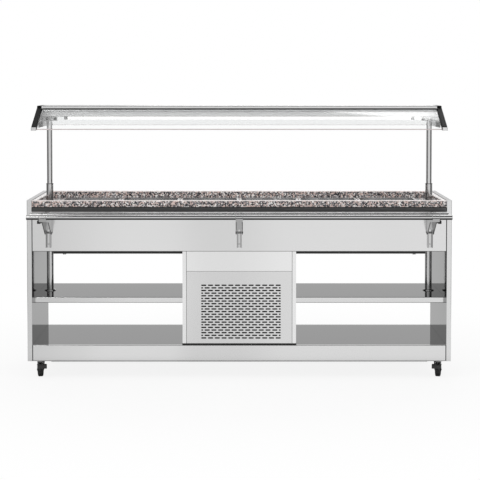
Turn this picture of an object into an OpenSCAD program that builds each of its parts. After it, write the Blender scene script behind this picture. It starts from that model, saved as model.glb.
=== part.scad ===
// Mobile refrigerated salad bar: a stainless island on castors with two open side bays, a machine
// compartment in the middle, six food pans in a cold well, folding tray slides along both long
// sides and a glass canopy on two telescopic posts.
// Millimetres. X runs along the bar, the guests' front faces -Y, Z = 0 is the floor.

/* [Overall] */
// Room for a post between the well's casing and an end panel
end_room = 103.6; // [100:0.1:200]
// Depth over the end panels
bar_d = 700; // [690:10:800]
// Height of the stone rim's top above the floor
counter_h = 954; // [940:1:1000]
// Thickness of the folded stainless sheet
sheet_t = 1.2; // [1:0.1:2]
// Thickness of each end panel
end_panel_t = 25; // [20:1:40]
// How far the end panels stand proud of the fascia and the skirt
panel_proud = 2; // [1:0.5:6]
// Width of the open seam between an end panel and the fascia or the skirt
seam_w = 4; // [2:0.5:6]
// Running-free gap between parts that are slid into place
fit_gap = 0.3; // [0.2:0.05:0.5]
// Radial clearance of a pin or ram in its bore
pin_fit = 0.08; // [0.04:0.01:0.1]

/* [Base and shelves] */
// Height of the skirt and deck above the castor plates
skirt_h = 85; // [70:1:110]
// Width of the folded lips under the deck
deck_lip = 20; // [15:1:30]
// Width of the castor rail at each end of the deck
rail_w = 76; // [70:1:100]
// Thickness of the castor rail
rail_t = 3; // [2:0.5:5]
// Height of the open bays between the middle shelves and the fascia
upper_bay_h = 253; // [205:1:300]
// Height of the middle shelves' folded edge
shelf_t = 30; // [20:1:40]
// How far the shelves sit behind the front of the end panels
shelf_setback = 70; // [40:5:110]
// Width of the folded lips under a shelf
shelf_lip = 14; // [10:1:25]

/* [Well] */
// Width of a full-size pan over its rim
pan_w = 325; // [320:1:328]
// Length of a full-size pan over its rim
pan_l = 530; // [520:1:534]
// Gap between the rims of neighbouring pans
pan_gap = 6; // [5:0.5:9]
// Depth of a pan
pan_depth = 150; // [65:5:180]
// Thickness of the pan's pressing
pan_t = 1.2; // [0.8:0.1:1.6]
// Width of the pan's rim from its edge to its wall
pan_rim = 10; // [9:0.5:11]
// How far the pan steps in below its stacking shoulder
pan_step = 4; // [2:0.5:6]
// Depth of the pan's stacking shoulder
pan_shoulder = 24; // [15:1:35]
// Radius of the pan's corners at the wall
pan_corner = 42; // [30:1:50]
// How far the pans' rims bear on the worktop at their ends
pan_bearing = 8; // [6:0.5:9]
// Depth of the well below the worktop
well_depth = 215; // [205:1:225]
// Thickness of the well's tub and casing
well_t = 1.2; // [1:0.1:2]
// Foam at the well's sides
foam_side = 11; // [8:1:16]
// Foam under the well's floor
foam_floor = 38; // [25:1:45]
// Ledge round the well's mouth that carries the bearer bars
bar_ledge = 4; // [3:0.5:6]
// Width of a bearer bar between two pans
bearer_w = 22; // [18:1:24]
// Depth of a bearer bar's stiffening rib
bearer_rib = 16; // [8:1:24]
// Radius of the drain pipe
drain_r = 16; // [12:1:20]

/* [Worktop and rim] */
// Thickness of the sunk steel worktop
worktop_t = 2; // [1.5:0.5:3]
// Height of the fascia
fascia_h = 235; // [220:1:245]
// Depth of the fascia's folded lips
fascia_lip = 20; // [12:1:30]
// Height of the stone rim
rim_h = 35; // [28:1:45]
// Thickness of the stone rim
rim_w = 26; // [20:1:28]
// Radius of the stone rim's top edges
rim_round = 8; // [4:0.5:10]

/* [Machine compartment] */
// Width over the compartment's sides
cabinet_w = 604; // [560:2:640]
// How far the compartment sits behind the front of the end panels
cabinet_setback = 20; // [12:1:40]
// Width of the folded posts at its corners
corner_w = 21; // [15:1:30]
// Height of the plain panel above the grille
plain_h = 107; // [90:1:130]
// Depth of the folded edges of the compartment's panels
panel_lip = 14; // [8:1:20]
// Gap above each panel
panel_gap = 1.2; // [0.5:0.1:2]
// Length of a grille slot
slot_l = 27.5; // [18:0.5:29]
// Height of a grille slot
slot_h = 7.5; // [4:0.5:9]
// Pitch of the slots along a row
slot_pitch = 36; // [34:0.2:38]
// Height of plain sheet above the highest row of slots' middle line
slot_high = 74.7; // [60:0.1:90]
// Number of rows of slots
slot_rows = 21; // [11:2:23]
// Number of slots in a full row
slot_count = 12; // [8:1:12]
// How far the slot field sits to the right of the middle
slot_shift = 9; // [0:1:12]
// Height of the lowest row of slots above the deck
slot_low = 36; // [30:1:50]

/* [Tray slide] */
// Diameter of the tray tubes
tube_d = 25; // [20:1:30]
// Wall of the tray tubes
tube_t = 1.5; // [1:0.1:2.5]
// Distance of the inner tube from the fascia
tube_in = 37; // [34:1:44]
// Distance of the middle tube from the fascia
tube_mid = 95; // [80:1:140]
// Distance of the outer tube from the fascia
tube_out = 242; // [200:1:280]
// Depth of the tubes' middle line below the worktop
tube_drop = 32; // [27:1:37]
// How far the tubes end short of the end panels' outer faces
tube_short = 30; // [10:1:60]
// Distance of the outer brackets from the end panels' inner faces
bracket_in = 90; // [80:1:200]
// Width of a wall channel
channel_w = 26; // [20:1:32]
// Depth of a wall channel
channel_d = 25; // [25:1:28]
// Thickness of the wall channel's steel
channel_t = 2; // [1.5:0.1:3]
// Length of a wall channel
channel_l = 159; // [130:1:170]
// Depth of the wall channel's upper end below the worktop
channel_drop = 55; // [49:1:62]
// Thickness of the arm's two plates
arm_t = 3; // [2:0.5:4]
// Side gap between an arm's plates and its channel
arm_gap = 2; // [0.5:0.5:3]
// Distance of the arm's pivot from the fascia
pivot_u = 14; // [13:0.5:15]
// Depth of the arm's pivot below the worktop
pivot_drop = 134; // [127:1:139]
// Radius of the arm's pivot pin
pivot_r = 4; // [3:0.5:5]
// Radius of the arm's rounded heel
heel_r = 10; // [8:0.5:11]
// Height of the arm's toe
toe_h = 15; // [10:1:25]
// Distance of the arm's elbow from the fascia
elbow_u = 150; // [120:5:180]
// Height of the arm at its elbow
elbow_h = 28; // [22:1:45]
// Height of the clamp knob above the pivot
knob_up = 56; // [50:1:60]
// Radius of the clamp knob
knob_r = 9; // [7:0.5:11]

/* [Posts] */
// Distance of the posts from the end panels' inner faces
post_in = 55; // [40:1:60]
// Outer diameter of the fixed sleeve
sleeve_d = 38; // [36:1:42]
// Wall of the sleeve
sleeve_t = 2; // [1.5:0.1:2.5]
// How far the sleeve rises above the stone rim
sleeve_up = 63; // [40:1:70]
// Diameter of the sliding ram
ram_d = 30; // [26:1:31]
// Wall of the ram
ram_t = 2; // [1.5:0.1:3]
// Length of ram left inside the sleeve when the canopy is up
ram_engaged = 227; // [150:1:240]
// How far the canopy can be lowered
lift_travel = 300; // [200:10:310]

/* [Canopy] */
// Height of the canopy's top above the stone rim
canopy_up = 496; // [466:1:546]
// How far the canopy's end profiles stay inside the end panels' outer faces
canopy_in = 27; // [25:1:30]
// How far the canopy's corners reach past the end panels' fronts
canopy_out = 14; // [-10:1:30]
// Height of the canopy from its lower edge to its top
canopy_h = 122; // [115:1:140]
// Depth of the ridge cap
cap_d = 230; // [200:1:260]
// Height of the ridge cap
cap_h = 32; // [30:1:36]
// Wall of the ridge cap
cap_t = 3; // [2:0.5:4]
// Thickness of the glass
glass_t = 6; // [4:0.5:6]
// Width of the dark end profiles
gable_w = 24; // [18:1:30]
// Depth of the dark end profiles across the slope
gable_h = 26; // [22:1:30]
// Thickness of the steel gable plates
plate_t = 3; // [2:0.5:4]
// Depth of the lamp housing
lamp_d = 120; // [90:1:130]
// How far the lamp housing hangs below the canopy's top
lamp_drop = 64; // [58:1:70]
// Diameter of the lamp tube
lamp_tube_d = 14; // [10:1:16]
// How far the lamp tube ends short of the canopy's end profiles
lamp_short = 128; // [100:1:200]
// Height of the post head blocks
head_h = 24; // [20:1:30]
// Width of the corner caps
corner_cap_w = 27; // [25:1:30]

/* [Castors] */
// Height of a castor from the floor to its plate's top
castor_h = 97; // [95:1:104]
// Radius of a wheel
wheel_r = 37.5; // [34:0.5:38]
// Width of a wheel's tread
wheel_w = 25; // [20:1:28]
// Distance of the castors from the end panels' inner faces
castor_in = 38; // [36:1:40]
// Distance of the castors from the front and the rear
castor_edge = 65; // [60:1:80]
// How far a wheel trails behind its swivel
castor_trail = 22; // [20:1:24]
// How far the castors are turned
castor_turn = 15; // [0:1:30]

/* [Hidden] */
$fn = 48;

// A cut runs this far past the face that it opens
past = 1;

// Outer radius of the sheet's bends
bend_r = 3;

// Heights of the carcass
base_z = castor_h;
deck_z = base_z + skirt_h;
rim_z = counter_h - rim_h;
worktop_z = rim_z - worktop_t;
fascia_z = worktop_z - fascia_h;
shelf_z = fascia_z - upper_bay_h;
panel_h = counter_h - base_z;

// The well: six pans, its tub, foam and casing
pan_count = 6;
pan_pitch = pan_w + pan_gap;
well_l = (pan_count - 1) * pan_pitch + pan_w - 2 * (pan_bearing - 1);
well_w = pan_l - 2 * pan_bearing;
tub_l = well_l + 2 * well_t;
tub_w = well_w + 2 * well_t;
casing_l = tub_l + 2 * foam_side + 2 * well_t;
casing_w = tub_w + 2 * foam_side + 2 * well_t;
tub_floor_z = worktop_z - well_depth;
casing_z = tub_floor_z - 2 * well_t - foam_floor;
well_corner = 30;
mouth_corner = 6;
drain_x = -120;
drain_flange_r = drain_r + 10;
drain_wall = 2;
drain_end_z = casing_z - 122;
drain_cap_h = 26;

// Half sizes of the carcass, whose width follows from the six pans
half_in = casing_l / 2 + end_room;
half_free = half_in - fit_gap;
bar_w = 2 * (half_in + end_panel_t);
half_d = bar_d / 2;
face_y = half_d - panel_proud;
cabinet_y = half_d - cabinet_setback;
cabinet_x = cabinet_w / 2;

// Pans
pan_top_z = rim_z + fit_gap + pan_t;
pan_rim_corner = 17;
pan_body_w = pan_w - 2 * pan_rim;
pan_body_l = pan_l - 2 * pan_rim;
bearer_t = worktop_t;
rib_t = 3;

// Posts
post_x = half_in - post_in;
sleeve_r = sleeve_d / 2;
sleeve_bore = sleeve_r - sleeve_t;
sleeve_z = counter_h + sleeve_up;
ram_r = ram_d / 2;
ram_low = sleeve_z - ram_engaged;
foot_r = sleeve_r + 12;
foot_h = 6;
bush_h = 30;
bush_lip = 3;
guide_h = 15;
stop_h = 8;
stop_z = ram_low - lift_travel - fit_gap;

// Canopy
canopy_z = counter_h + canopy_up;
canopy_low = canopy_z - canopy_h;
canopy_x = bar_w / 2 - canopy_in;
bay_x = canopy_x - gable_w;
canopy_y = half_d + canopy_out;
cap_y = cap_d / 2;
cap_lip_h = 7;
cap_groove = 11;
cap_groove_d = 10;
cap_round = 2.5;
glass_low_y = canopy_y - 6;
glass_low_z = canopy_low + 2;
glass_high_y = cap_y - 7;
glass_high_z = canopy_z - cap_h + cap_lip_h + 6.3;
glass_slope = atan((glass_high_z - glass_low_z) / (glass_low_y - glass_high_y));
glass_w = norm([glass_high_z - glass_low_z, glass_low_y - glass_high_y]);
head_z = canopy_z - lamp_drop - fit_gap;
head_out = 42;
head_half_d = 18;
head_screw_out = 33;
head_screw_in = 10;
cap_screw_r = 6;
cap_screw_h = 4;
lamp_wall = 1.5;
lamp_z = canopy_z - lamp_drop - lamp_tube_d / 2 - 1;
gable_plate_y = canopy_y - 114;
gable_plate_low = canopy_low + 4;
gable_bolts_y = [gable_plate_y - 120, gable_plate_y - 60];
gable_bolt_up = 14;
gable_rise = 9;
corner_len = 14;
corner_high = 18;
corner_drop = 5;
corner_side = 1;
corner_r = 3;

// Tray slide, in u: outwards from the fascia
tube_z = worktop_z - tube_drop;
channel_high = worktop_z - channel_drop;
channel_low = channel_high - channel_l;
pivot_z = worktop_z - pivot_drop;
tubes_u = [tube_in, tube_mid, tube_out];
tube_half = bar_w / 2 - tube_short;
brackets_x = [-(half_in - bracket_in), 0, half_in - bracket_in];
arm_in = channel_w / 2 + arm_gap;
arm_out = arm_in + arm_t;
arm_top = tube_z - tube_d / 4;
arm_toe_u = tube_out + tube_d * 0.7;
arm_heel_u = pivot_u - heel_r;
stud_r = 4;
knob_stem_r = 5;
knob_stem_h = 24;
knob_h = 16;
plug_h = 14;
screw_z = channel_low + 19;

// Castors
castor_x = half_in - castor_in;
castor_y = half_d - castor_edge;
castor_side = 56;
castor_corner = 5;
castor_plate_t = 3;
castor_hole = 20;
castor_hole_r = 4;
castor_bolt_r = 3.5;
nut_r = 7;
nut_h = 4;
race_r = 20;
race_h = 10;
fork_top_z = castor_h - castor_plate_t - race_h;
fork_top_t = 3.5;
fork_front = 16;
fork_foot_r = 10;
fork_gap = wheel_w / 2 + 1.8;
fork_t = 2.5;
axle_r = 4;
axle_end = 2.5;
kingpin_r = 5;
kingpin_nut_r = 8;
hub_wall = 8;
web_t = 8;
tread_h = 11;
tread_r = 4;
pedal_y = -12;
pedal_z = fork_top_z - 18;
pedal_pin_r = 2;
pedal_boss_r = 5;
pedal_shoe_r = 2;
pedal_shoe_at = 4.4;
pedal_shoe_angle = -62;
pedal_w = 50;
pedal_reach = 33;
pedal_up = 9;
pedal_down = 14;
pedal_t = 3.5;

// How far the ledges reach under the deck, and the stiffening strips under the skirts
deck_ledge = 4;
sill_in = 100;
sill_w = 14;
sill_h = 4;
sill_back = 3;

// Screws of the channels and feet of the casing
channel_screw_r = 5;
channel_screw_h = 3;
casing_foot_r = 8;
casing_foot_h = 5;
casing_foot_in = 60;

// Machine compartment
plain_top = fascia_z - fit_gap;
plain_low = plain_top - plain_h;
panel_half = cabinet_x - corner_w;

// Compressor: a pot on a plate, on rubber feet on its base
compressor_x = -150;
compressor_in = 240;
compressor_y = cabinet_y - compressor_in;
base_l = 230;
base_w = 180;
base_t = 4;
base_corner = 12;
base_edge = 20;
base_hole_r = 5;
rubber_at = 60;
rubber_r = 11;
rubber_h = 18;
foot_plate = 150;
foot_plate_corner = 16;
pot_r = 72;
pot_h = 108;
dome_r = 26;
terminal_l = 38;
terminal_w = 44;
terminal_h = 60;
terminal_up = 28;
stub_at = 40;
stub_out = 24;
stub_r = 5;
stub_h = 40;
stub_thin_r = 4;
stub_thin_h = 28;

// Condenser behind the front grille
coil_x = slot_shift;
coil_w = 432;
coil_d = 44;
coil_in = 60;
coil_y = coil_in - cabinet_y;
coil_h = 322;
fin_low = 8;
fin_back = 2;
fin_t = 1;
fin_count = 44;
coil_rows = 7;
coil_tube_r = 5;
coil_end_t = 6;
coil_frame_h = coil_h + 2 * fin_low;

// Fan behind the condenser
fan_x = coil_x;
fan_back = 32;
fan_y = coil_y + coil_d + fan_back;
fan_z = deck_z + coil_frame_h / 2;
fan_r = 130;
fan_tip = 8;
fan_h = 22;
fan_hub_r = 26;
fan_shaft_r = 4;
blade_count = 5;
blade_w = 58;
blade_t = 1.6;
blade_pitch = 32;
shroud_t = 6;
motor_r = 36;
motor_h = 60;
motor_back = 62;
motor_arm_w = 12;
motor_arm_t = 3;
motor_arm_y = 76;
motor_post_t = 5;

// Controls at the rear
control_z = plain_low + plain_h / 2;
bezel_t = 3;
bezel_lip = 4;
body_gap = 0.5;
thermostat_x = -40;
thermostat_w = 76;
thermostat_h = 34;
thermostat_depth = 60;
window_w = 56;
window_h = 18;
window_up = 3;
inlet_x = -115;
inlet_w = 48;
inlet_h = 34;
inlet_depth = 40;
inlet_wall = 7;
inlet_floor = 14;
blade_l = 8;
rocker_w = 20;
rocker_h = 28;
rocker_x = [70, 110];
rocker_wall = 3.5;
rocker_lip = 2.5;
rocker_bezel_t = 2;
rocker_depth = 26;
rocker_floor = 3;
rocker_axis = 8;
rocker_pin_r = 1.5;
rocker_turn = 8;
rocker_nose = 12;
rocker_edge = 9.5;

// Runs a profile drawn in (Y, Z) along X, centred
module along_x(length) {
    rotate([90, 0, 90]) linear_extrude(height = length, center = true) children();
}

// Rectangle with round corners, centred
module rounded_rect(w, h, r) {
    square([w - 2 * r, h], center = true);
    square([w, h - 2 * r], center = true);
    for (x = [-1, 1], y = [-1, 1]) translate([x * (w / 2 - r), y * (h / 2 - r)]) circle(r = r);
}

// Folded sheet seen from its end: a closed box of wall t with round bends
module folded_box(w, h, t, r) {
    difference() {
        rounded_rect(w, h, r);
        rounded_rect(w - 2 * t, h - 2 * t, r - t);
    }
}

// A copy on the right and one on the left
module both_sides() {
    children();
    mirror([1, 0, 0]) children();
}

// A copy at the front and one at the rear
module both_faces() {
    children();
    mirror([0, 1, 0]) children();
}

// ---- Carcass ----

// End panel: an outer skin folded to a tray, closed by an inner liner. Drawn on the right.
module end_panel() {
    color("gainsboro") {
        difference() {
            translate([half_in + end_panel_t / 2, 0, base_z]) linear_extrude(panel_h) {
                rounded_rect(end_panel_t, bar_d, bend_r);
                translate([-end_panel_t / 4, 0]) square([end_panel_t / 2, bar_d], center = true);
            }
            translate([half_in - past, -half_d + sheet_t, base_z + sheet_t])
                cube([end_panel_t - sheet_t + past, bar_d - 2 * sheet_t, panel_h - 2 * sheet_t]);
        }
        liner_d = bar_d - 2 * (sheet_t + fit_gap);
        liner_h = panel_h - 2 * (sheet_t + fit_gap);
        translate([half_in, -liner_d / 2, base_z + sheet_t + fit_gap])
            cube([sheet_t, liner_d, liner_h]);
    }
}
module left_end_panel() { mirror([1, 0, 0]) end_panel(); }
module right_end_panel() { end_panel(); }

// Cuts that open a seam between a folded front and the end panels, at the front and the rear
module seams(low, height) {
    both_sides() both_faces() translate([half_free - seam_w, face_y - bend_r, low + sheet_t])
        cube([seam_w + past, bend_r + past, height - 2 * sheet_t]);
}

// Deck: a flat sheet let in between the upper lips of the base frame, on their ledges
module deck_sheet() {
    color("lightgray") along_x(2 * half_free) translate([0, deck_z - sheet_t / 2])
        square([2 * (face_y - deck_lip - fit_gap), sheet_t], center = true);
}

// Skirt in (Y, Z): a sheet folded inwards above and below, with a ledge under its upper lip
module skirt_section() {
    translate([face_y - deck_lip, base_z + skirt_h / 2]) difference() {
        folded_box(2 * deck_lip, skirt_h, sheet_t, bend_r);
        translate([-deck_lip, 0]) square([2 * deck_lip, skirt_h + past], center = true);
    }
    translate([face_y - deck_lip - deck_ledge, deck_z - 2 * sheet_t])
        square([3 * deck_ledge, sheet_t]);
}

// Base frame: the front and rear skirts, a rail for the castors at each end and the strips below
module base_frame() {
    color("lightgray") difference() {
        union() {
            both_faces() {
                along_x(2 * half_free) skirt_section();
                translate([0, face_y - sill_back - sill_w / 2, base_z - sill_h / 2])
                    cube([2 * (half_in - sill_in), sill_w, sill_h + sheet_t], center = true);
            }
            both_sides() translate([half_free - rail_w, -face_y + sheet_t, base_z])
                cube([rail_w, 2 * (face_y - sheet_t), rail_t]);
        }
        castor_holes(base_z - past, rail_t + 2 * past, castor_hole_r);
        seams(base_z, skirt_h);
    }
}

// Round holes under the four castors' bolts
module castor_holes(z, h, r) {
    both_sides() both_faces() for (i = [-1, 1], j = [-1, 1])
        translate([castor_x + i * castor_hole, castor_y + j * castor_hole, z]) cylinder(h = h, r = r);
}

// Middle shelf: a sheet folded down at its front and rear. Drawn on the right.
module side_shelf() {
    length = half_free - cabinet_x - fit_gap;
    depth = bar_d - 2 * shelf_setback;
    color("silver") translate([cabinet_x + fit_gap + length / 2, 0, shelf_z - shelf_t / 2])
        along_x(length) difference() {
            folded_box(depth, shelf_t, sheet_t, bend_r);
            translate([0, -shelf_t / 2])
                square([depth - 2 * shelf_lip, 4 * sheet_t], center = true);
        }
}
module left_shelf() { mirror([1, 0, 0]) side_shelf(); }
module right_shelf() { side_shelf(); }

// Front and rear fascia: sheets with inward lips above and below
module fascias() {
    color("gainsboro") difference() {
        both_faces() translate([0, face_y - fascia_lip / 2, fascia_z + fascia_h / 2])
            along_x(2 * half_free) difference() {
                folded_box(fascia_lip, fascia_h, sheet_t, bend_r);
                translate([-fascia_lip / 2, 0])
                    square([fascia_lip, fascia_h - 2 * sheet_t], center = true);
            }
        seams(fascia_z, fascia_h);
    }
}

// Sunk worktop with the well's mouth and the post holes
module worktop() {
    color("silver") translate([0, 0, worktop_z]) linear_extrude(worktop_t) difference() {
        square([2 * half_free, 2 * face_y], center = true);
        rounded_rect(well_l + 2 * bar_ledge, well_w + 2 * bar_ledge, mouth_corner);
        for (s = [-1, 1]) translate([s * post_x, 0]) circle(r = sleeve_r + fit_gap);
    }
}

// Section of the stone rim, standing on y = 0, outer face at x = 0, growing towards -x
module rim_section() {
    translate([-rim_w, 0]) square([rim_w, rim_h - rim_round]);
    translate([-rim_w + rim_round, 0]) square([rim_w - 2 * rim_round, rim_h]);
    for (x = [-rim_w + rim_round, -rim_round])
        translate([x, rim_h - rim_round]) circle(r = rim_round);
}

// Stone rim round the worktop: two long rails with two cross rails between them
module stone_rim() {
    cross = 2 * (half_d - rim_w + rim_round / 2);
    color("rosybrown") {
        both_faces() translate([0, half_d, rim_z]) along_x(2 * half_free) rim_section();
        both_sides() translate([half_free, cross / 2, rim_z]) rotate([90, 0, 0])
            linear_extrude(cross) rim_section();
    }
}

// ---- Cold well ----

// Tub: a pressed liner whose flange closes the foam
module well_tub() {
    color("silver") difference() {
        union() {
            translate([0, 0, tub_floor_z - well_t])
                linear_extrude(well_depth + well_t) rounded_rect(tub_l, tub_w, well_corner + well_t);
            translate([0, 0, worktop_z - well_t])
                linear_extrude(well_t) rounded_rect(casing_l, casing_w, mouth_corner);
        }
        translate([0, 0, tub_floor_z])
            linear_extrude(well_depth + past) rounded_rect(well_l, well_w, well_corner);
        translate([drain_x, 0, tub_floor_z - well_t - past])
            cylinder(h = well_t + 2 * past, r = drain_r + fit_gap);
    }
}

// Foam block round the tub
module well_insulation() {
    low = casing_z + well_t;
    color("khaki") difference() {
        translate([0, 0, low]) linear_extrude(worktop_z - well_t - low)
            rounded_rect(casing_l - 2 * well_t, casing_w - 2 * well_t, mouth_corner - well_t);
        translate([0, 0, tub_floor_z - well_t])
            linear_extrude(well_depth + past) rounded_rect(tub_l, tub_w, well_corner + well_t);
        translate([drain_x, 0, low - past])
            cylinder(h = foam_floor + 2 * past, r = drain_r + fit_gap);
    }
}

// Casing: the open box that holds the foam
module well_casing() {
    color("gray") difference() {
        translate([0, 0, casing_z]) linear_extrude(worktop_z - well_t - casing_z)
            rounded_rect(casing_l, casing_w, mouth_corner);
        translate([0, 0, casing_z + well_t]) linear_extrude(worktop_z - casing_z)
            rounded_rect(casing_l - 2 * well_t, casing_w - 2 * well_t, mouth_corner - well_t);
        translate([drain_x, 0, casing_z - past])
            cylinder(h = well_t + 2 * past, r = drain_r + fit_gap);
    }
}

// Bearer bars between the pans, level with the worktop, their ends on the tub's flange
module pan_bearers() {
    span = well_w + 2 * bar_ledge - 2 * fit_gap;
    rib_span = well_w - 2 * fit_gap;
    color("silver") for (i = [1:pan_count - 1])
        translate([(i - pan_count / 2) * pan_pitch, 0, worktop_z]) {
            translate([-bearer_w / 2, -span / 2, 0]) cube([bearer_w, span, bearer_t]);
            translate([-rib_t / 2, -rib_span / 2, -bearer_rib])
                cube([rib_t, rib_span, bearer_rib + bearer_t / 2]);
        }
}

// Full-size pan: rim, stacking shoulder and body, hollow
module pan(i) {
    low_w = pan_body_w - 2 * pan_step;
    low_l = pan_body_l - 2 * pan_step;
    color("silver") translate([(i - (pan_count + 1) / 2) * pan_pitch, 0, pan_top_z]) difference() {
        union() {
            translate([0, 0, -pan_t]) linear_extrude(pan_t) rounded_rect(pan_w, pan_l, pan_rim_corner);
            translate([0, 0, -pan_shoulder])
                linear_extrude(pan_shoulder) rounded_rect(pan_body_w, pan_body_l, pan_corner);
            translate([0, 0, -pan_depth])
                linear_extrude(pan_depth) rounded_rect(low_w, low_l, pan_corner - pan_step);
        }
        translate([0, 0, -pan_shoulder + pan_t]) linear_extrude(pan_shoulder)
            rounded_rect(pan_body_w - 2 * pan_t, pan_body_l - 2 * pan_t, pan_corner - pan_t);
        translate([0, 0, -pan_depth + pan_t]) linear_extrude(pan_depth)
            rounded_rect(low_w - 2 * pan_t, low_l - 2 * pan_t, pan_corner - pan_step - pan_t);
    }
}
module pan_1() { pan(1); }
module pan_2() { pan(2); }
module pan_3() { pan(3); }
module pan_4() { pan(4); }
module pan_5() { pan(5); }
module pan_6() { pan(6); }

// Drain from the well's floor into the machine compartment, with a screw cap below
module drain_pipe() {
    color("dimgray") translate([drain_x, 0, 0]) {
        difference() {
            union() {
                translate([0, 0, tub_floor_z]) cylinder(h = well_t, r = drain_flange_r);
                translate([0, 0, drain_end_z])
                    cylinder(h = tub_floor_z - drain_end_z, r = drain_r);
            }
            translate([0, 0, drain_end_z - past])
                cylinder(h = tub_floor_z - drain_end_z + 3 * past, r = drain_r - drain_wall);
        }
        difference() {
            translate([0, 0, drain_end_z - drain_wall - fit_gap])
                cylinder(h = drain_cap_h, r = drain_r + drain_wall + fit_gap);
            translate([0, 0, drain_end_z - fit_gap])
                cylinder(h = drain_cap_h, r = drain_r + fit_gap);
        }
    }
}

// ---- Machine compartment ----

// Sides of the compartment, folded to posts at their front and rear and notched round the casing
module machine_housing() {
    height = plain_top - deck_z;
    color("lightgray") both_sides() difference() {
        translate([0, 0, deck_z]) linear_extrude(height) {
            translate([cabinet_x - sheet_t, -cabinet_y]) square([sheet_t, 2 * cabinet_y]);
            for (s = [-1, 1]) {
                translate([cabinet_x - corner_w / 2, s * (cabinet_y - sheet_t / 2)])
                    square([corner_w, sheet_t], center = true);
                translate([cabinet_x - corner_w + sheet_t / 2, s * (cabinet_y - panel_lip / 2)])
                    square([sheet_t, panel_lip], center = true);
            }
        }
        translate([-past, -casing_w / 2 - fit_gap, casing_z - fit_gap])
            cube([cabinet_x + 2 * past, casing_w + 2 * fit_gap, plain_top - casing_z + past]);
    }
}

// Panel with folded edges, its outer face at y = -cabinet_y
module lipped_panel(low, high) {
    w = 2 * (panel_half - fit_gap);
    h = high - low - fit_gap - panel_gap;
    translate([-w / 2, -cabinet_y, low + fit_gap]) difference() {
        cube([w, panel_lip, h]);
        translate([sheet_t, sheet_t, sheet_t]) cube([w - 2 * sheet_t, panel_lip, h - 2 * sheet_t]);
    }
}

// Slot with round ends, centred
module slot(length) {
    square([length - slot_h, slot_h], center = true);
    for (s = [-1, 1]) translate([s * (length - slot_h) / 2, 0]) circle(d = slot_h);
}

// Field of slots: every other row is shifted and closed by a short slot at each end
module slot_field() {
    half = (slot_count - 1) / 2;
    row_pitch = (plain_low - deck_z - slot_low - slot_high) / (slot_rows - 1);
    short_l = slot_h * 1.4;
    short_x = (slot_count * slot_pitch - slot_pitch + slot_l - short_l) / 2;
    for (r = [0:slot_rows - 1]) translate([slot_shift, slot_low + r * row_pitch])
        if (r % 2 == 0)
            for (i = [0:slot_count - 1]) translate([(i - half) * slot_pitch, 0]) slot(slot_l);
        else {
            for (i = [0:slot_count - 2])
                translate([(i - half + 0.5) * slot_pitch, 0]) slot(slot_l);
            for (s = [-1, 1]) translate([s * short_x, 0]) slot(short_l);
        }
}

// The slotted panels in front of and behind the machine
module grille_panels() {
    color("gainsboro") for (turn = [0, 180]) rotate([0, 0, turn]) difference() {
        lipped_panel(deck_z, plain_low);
        translate([0, -cabinet_y + sheet_t + past, deck_z]) rotate([90, 0, 0])
            linear_extrude(sheet_t + 2 * past) slot_field();
    }
}

// The plain panels above the grilles: one at the front, and one at the rear for the controls
module upper_panels() {
    color("gainsboro") {
        lipped_panel(plain_low, plain_top);
        rotate([0, 0, 180]) difference() {
            lipped_panel(plain_low, plain_top);
            control_cut(thermostat_x, thermostat_w - 2 * bezel_lip, thermostat_h - 2 * bezel_lip);
            control_cut(inlet_x, inlet_w - 2 * bezel_lip, inlet_h - 2 * bezel_lip);
            for (x = rocker_x) control_cut(x, rocker_w + 2 * (rocker_wall + body_gap),
                rocker_h + 2 * (rocker_wall + body_gap));
        }
    }
}

// Rectangular cut-out in the rear panel
module control_cut(x, w, h) {
    translate([x, -cabinet_y, control_z]) cube([w, 4 * sheet_t, h], center = true);
}

// Bezel with a body behind it, its outer face towards -Y
module control_body(w, h, lip, front, depth) {
    body_w = w - 2 * lip;
    body_h = h - 2 * lip;
    translate([-w / 2, -front, -h / 2]) cube([w, front, h]);
    translate([-body_w / 2, -front / 2, -body_h / 2]) cube([body_w, depth + front / 2, body_h]);
}

// Thermostat, power inlet and the two switch housings, each with a bezel outside the panel
module control_modules() {
    lip = bezel_lip + body_gap;
    recess_w = inlet_w - 2 * lip - inlet_wall;
    recess_h = inlet_h - 2 * lip - inlet_wall;
    color("dimgray") rotate([0, 0, 180]) translate([0, -cabinet_y, control_z]) {
        translate([thermostat_x, 0, 0]) difference() {
            control_body(thermostat_w, thermostat_h, lip, bezel_t, thermostat_depth);
            translate([0, -bezel_t, window_up]) cube([window_w, 2, window_h], center = true);
        }
        translate([inlet_x, 0, 0]) {
            difference() {
                control_body(inlet_w, inlet_h, lip, bezel_t, inlet_depth);
                translate([-recess_w / 2, -bezel_t - past, -recess_h / 2])
                    cube([recess_w, bezel_t + past + inlet_floor, recess_h]);
            }
            for (x = [-1, 0, 1]) translate([x * recess_w / 4 - past, inlet_floor - blade_l, -2])
                cube([2 * past, blade_l + past, 4]);
        }
        for (x = rocker_x) translate([x, 0, 0]) difference() {
            control_body(rocker_w + 2 * (rocker_wall + rocker_lip),
                rocker_h + 2 * (rocker_wall + rocker_lip), rocker_lip, rocker_bezel_t, rocker_depth);
            translate([-rocker_w / 2, -rocker_bezel_t - past, -rocker_h / 2])
                cube([rocker_w, rocker_bezel_t + past + rocker_depth - rocker_floor, rocker_h]);
            translate([0, rocker_axis, 0]) rotate([0, 90, 0])
                cylinder(h = rocker_w + rocker_wall + 1.5, r = rocker_pin_r + pin_fit, center = true);
        }
    }
}

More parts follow.
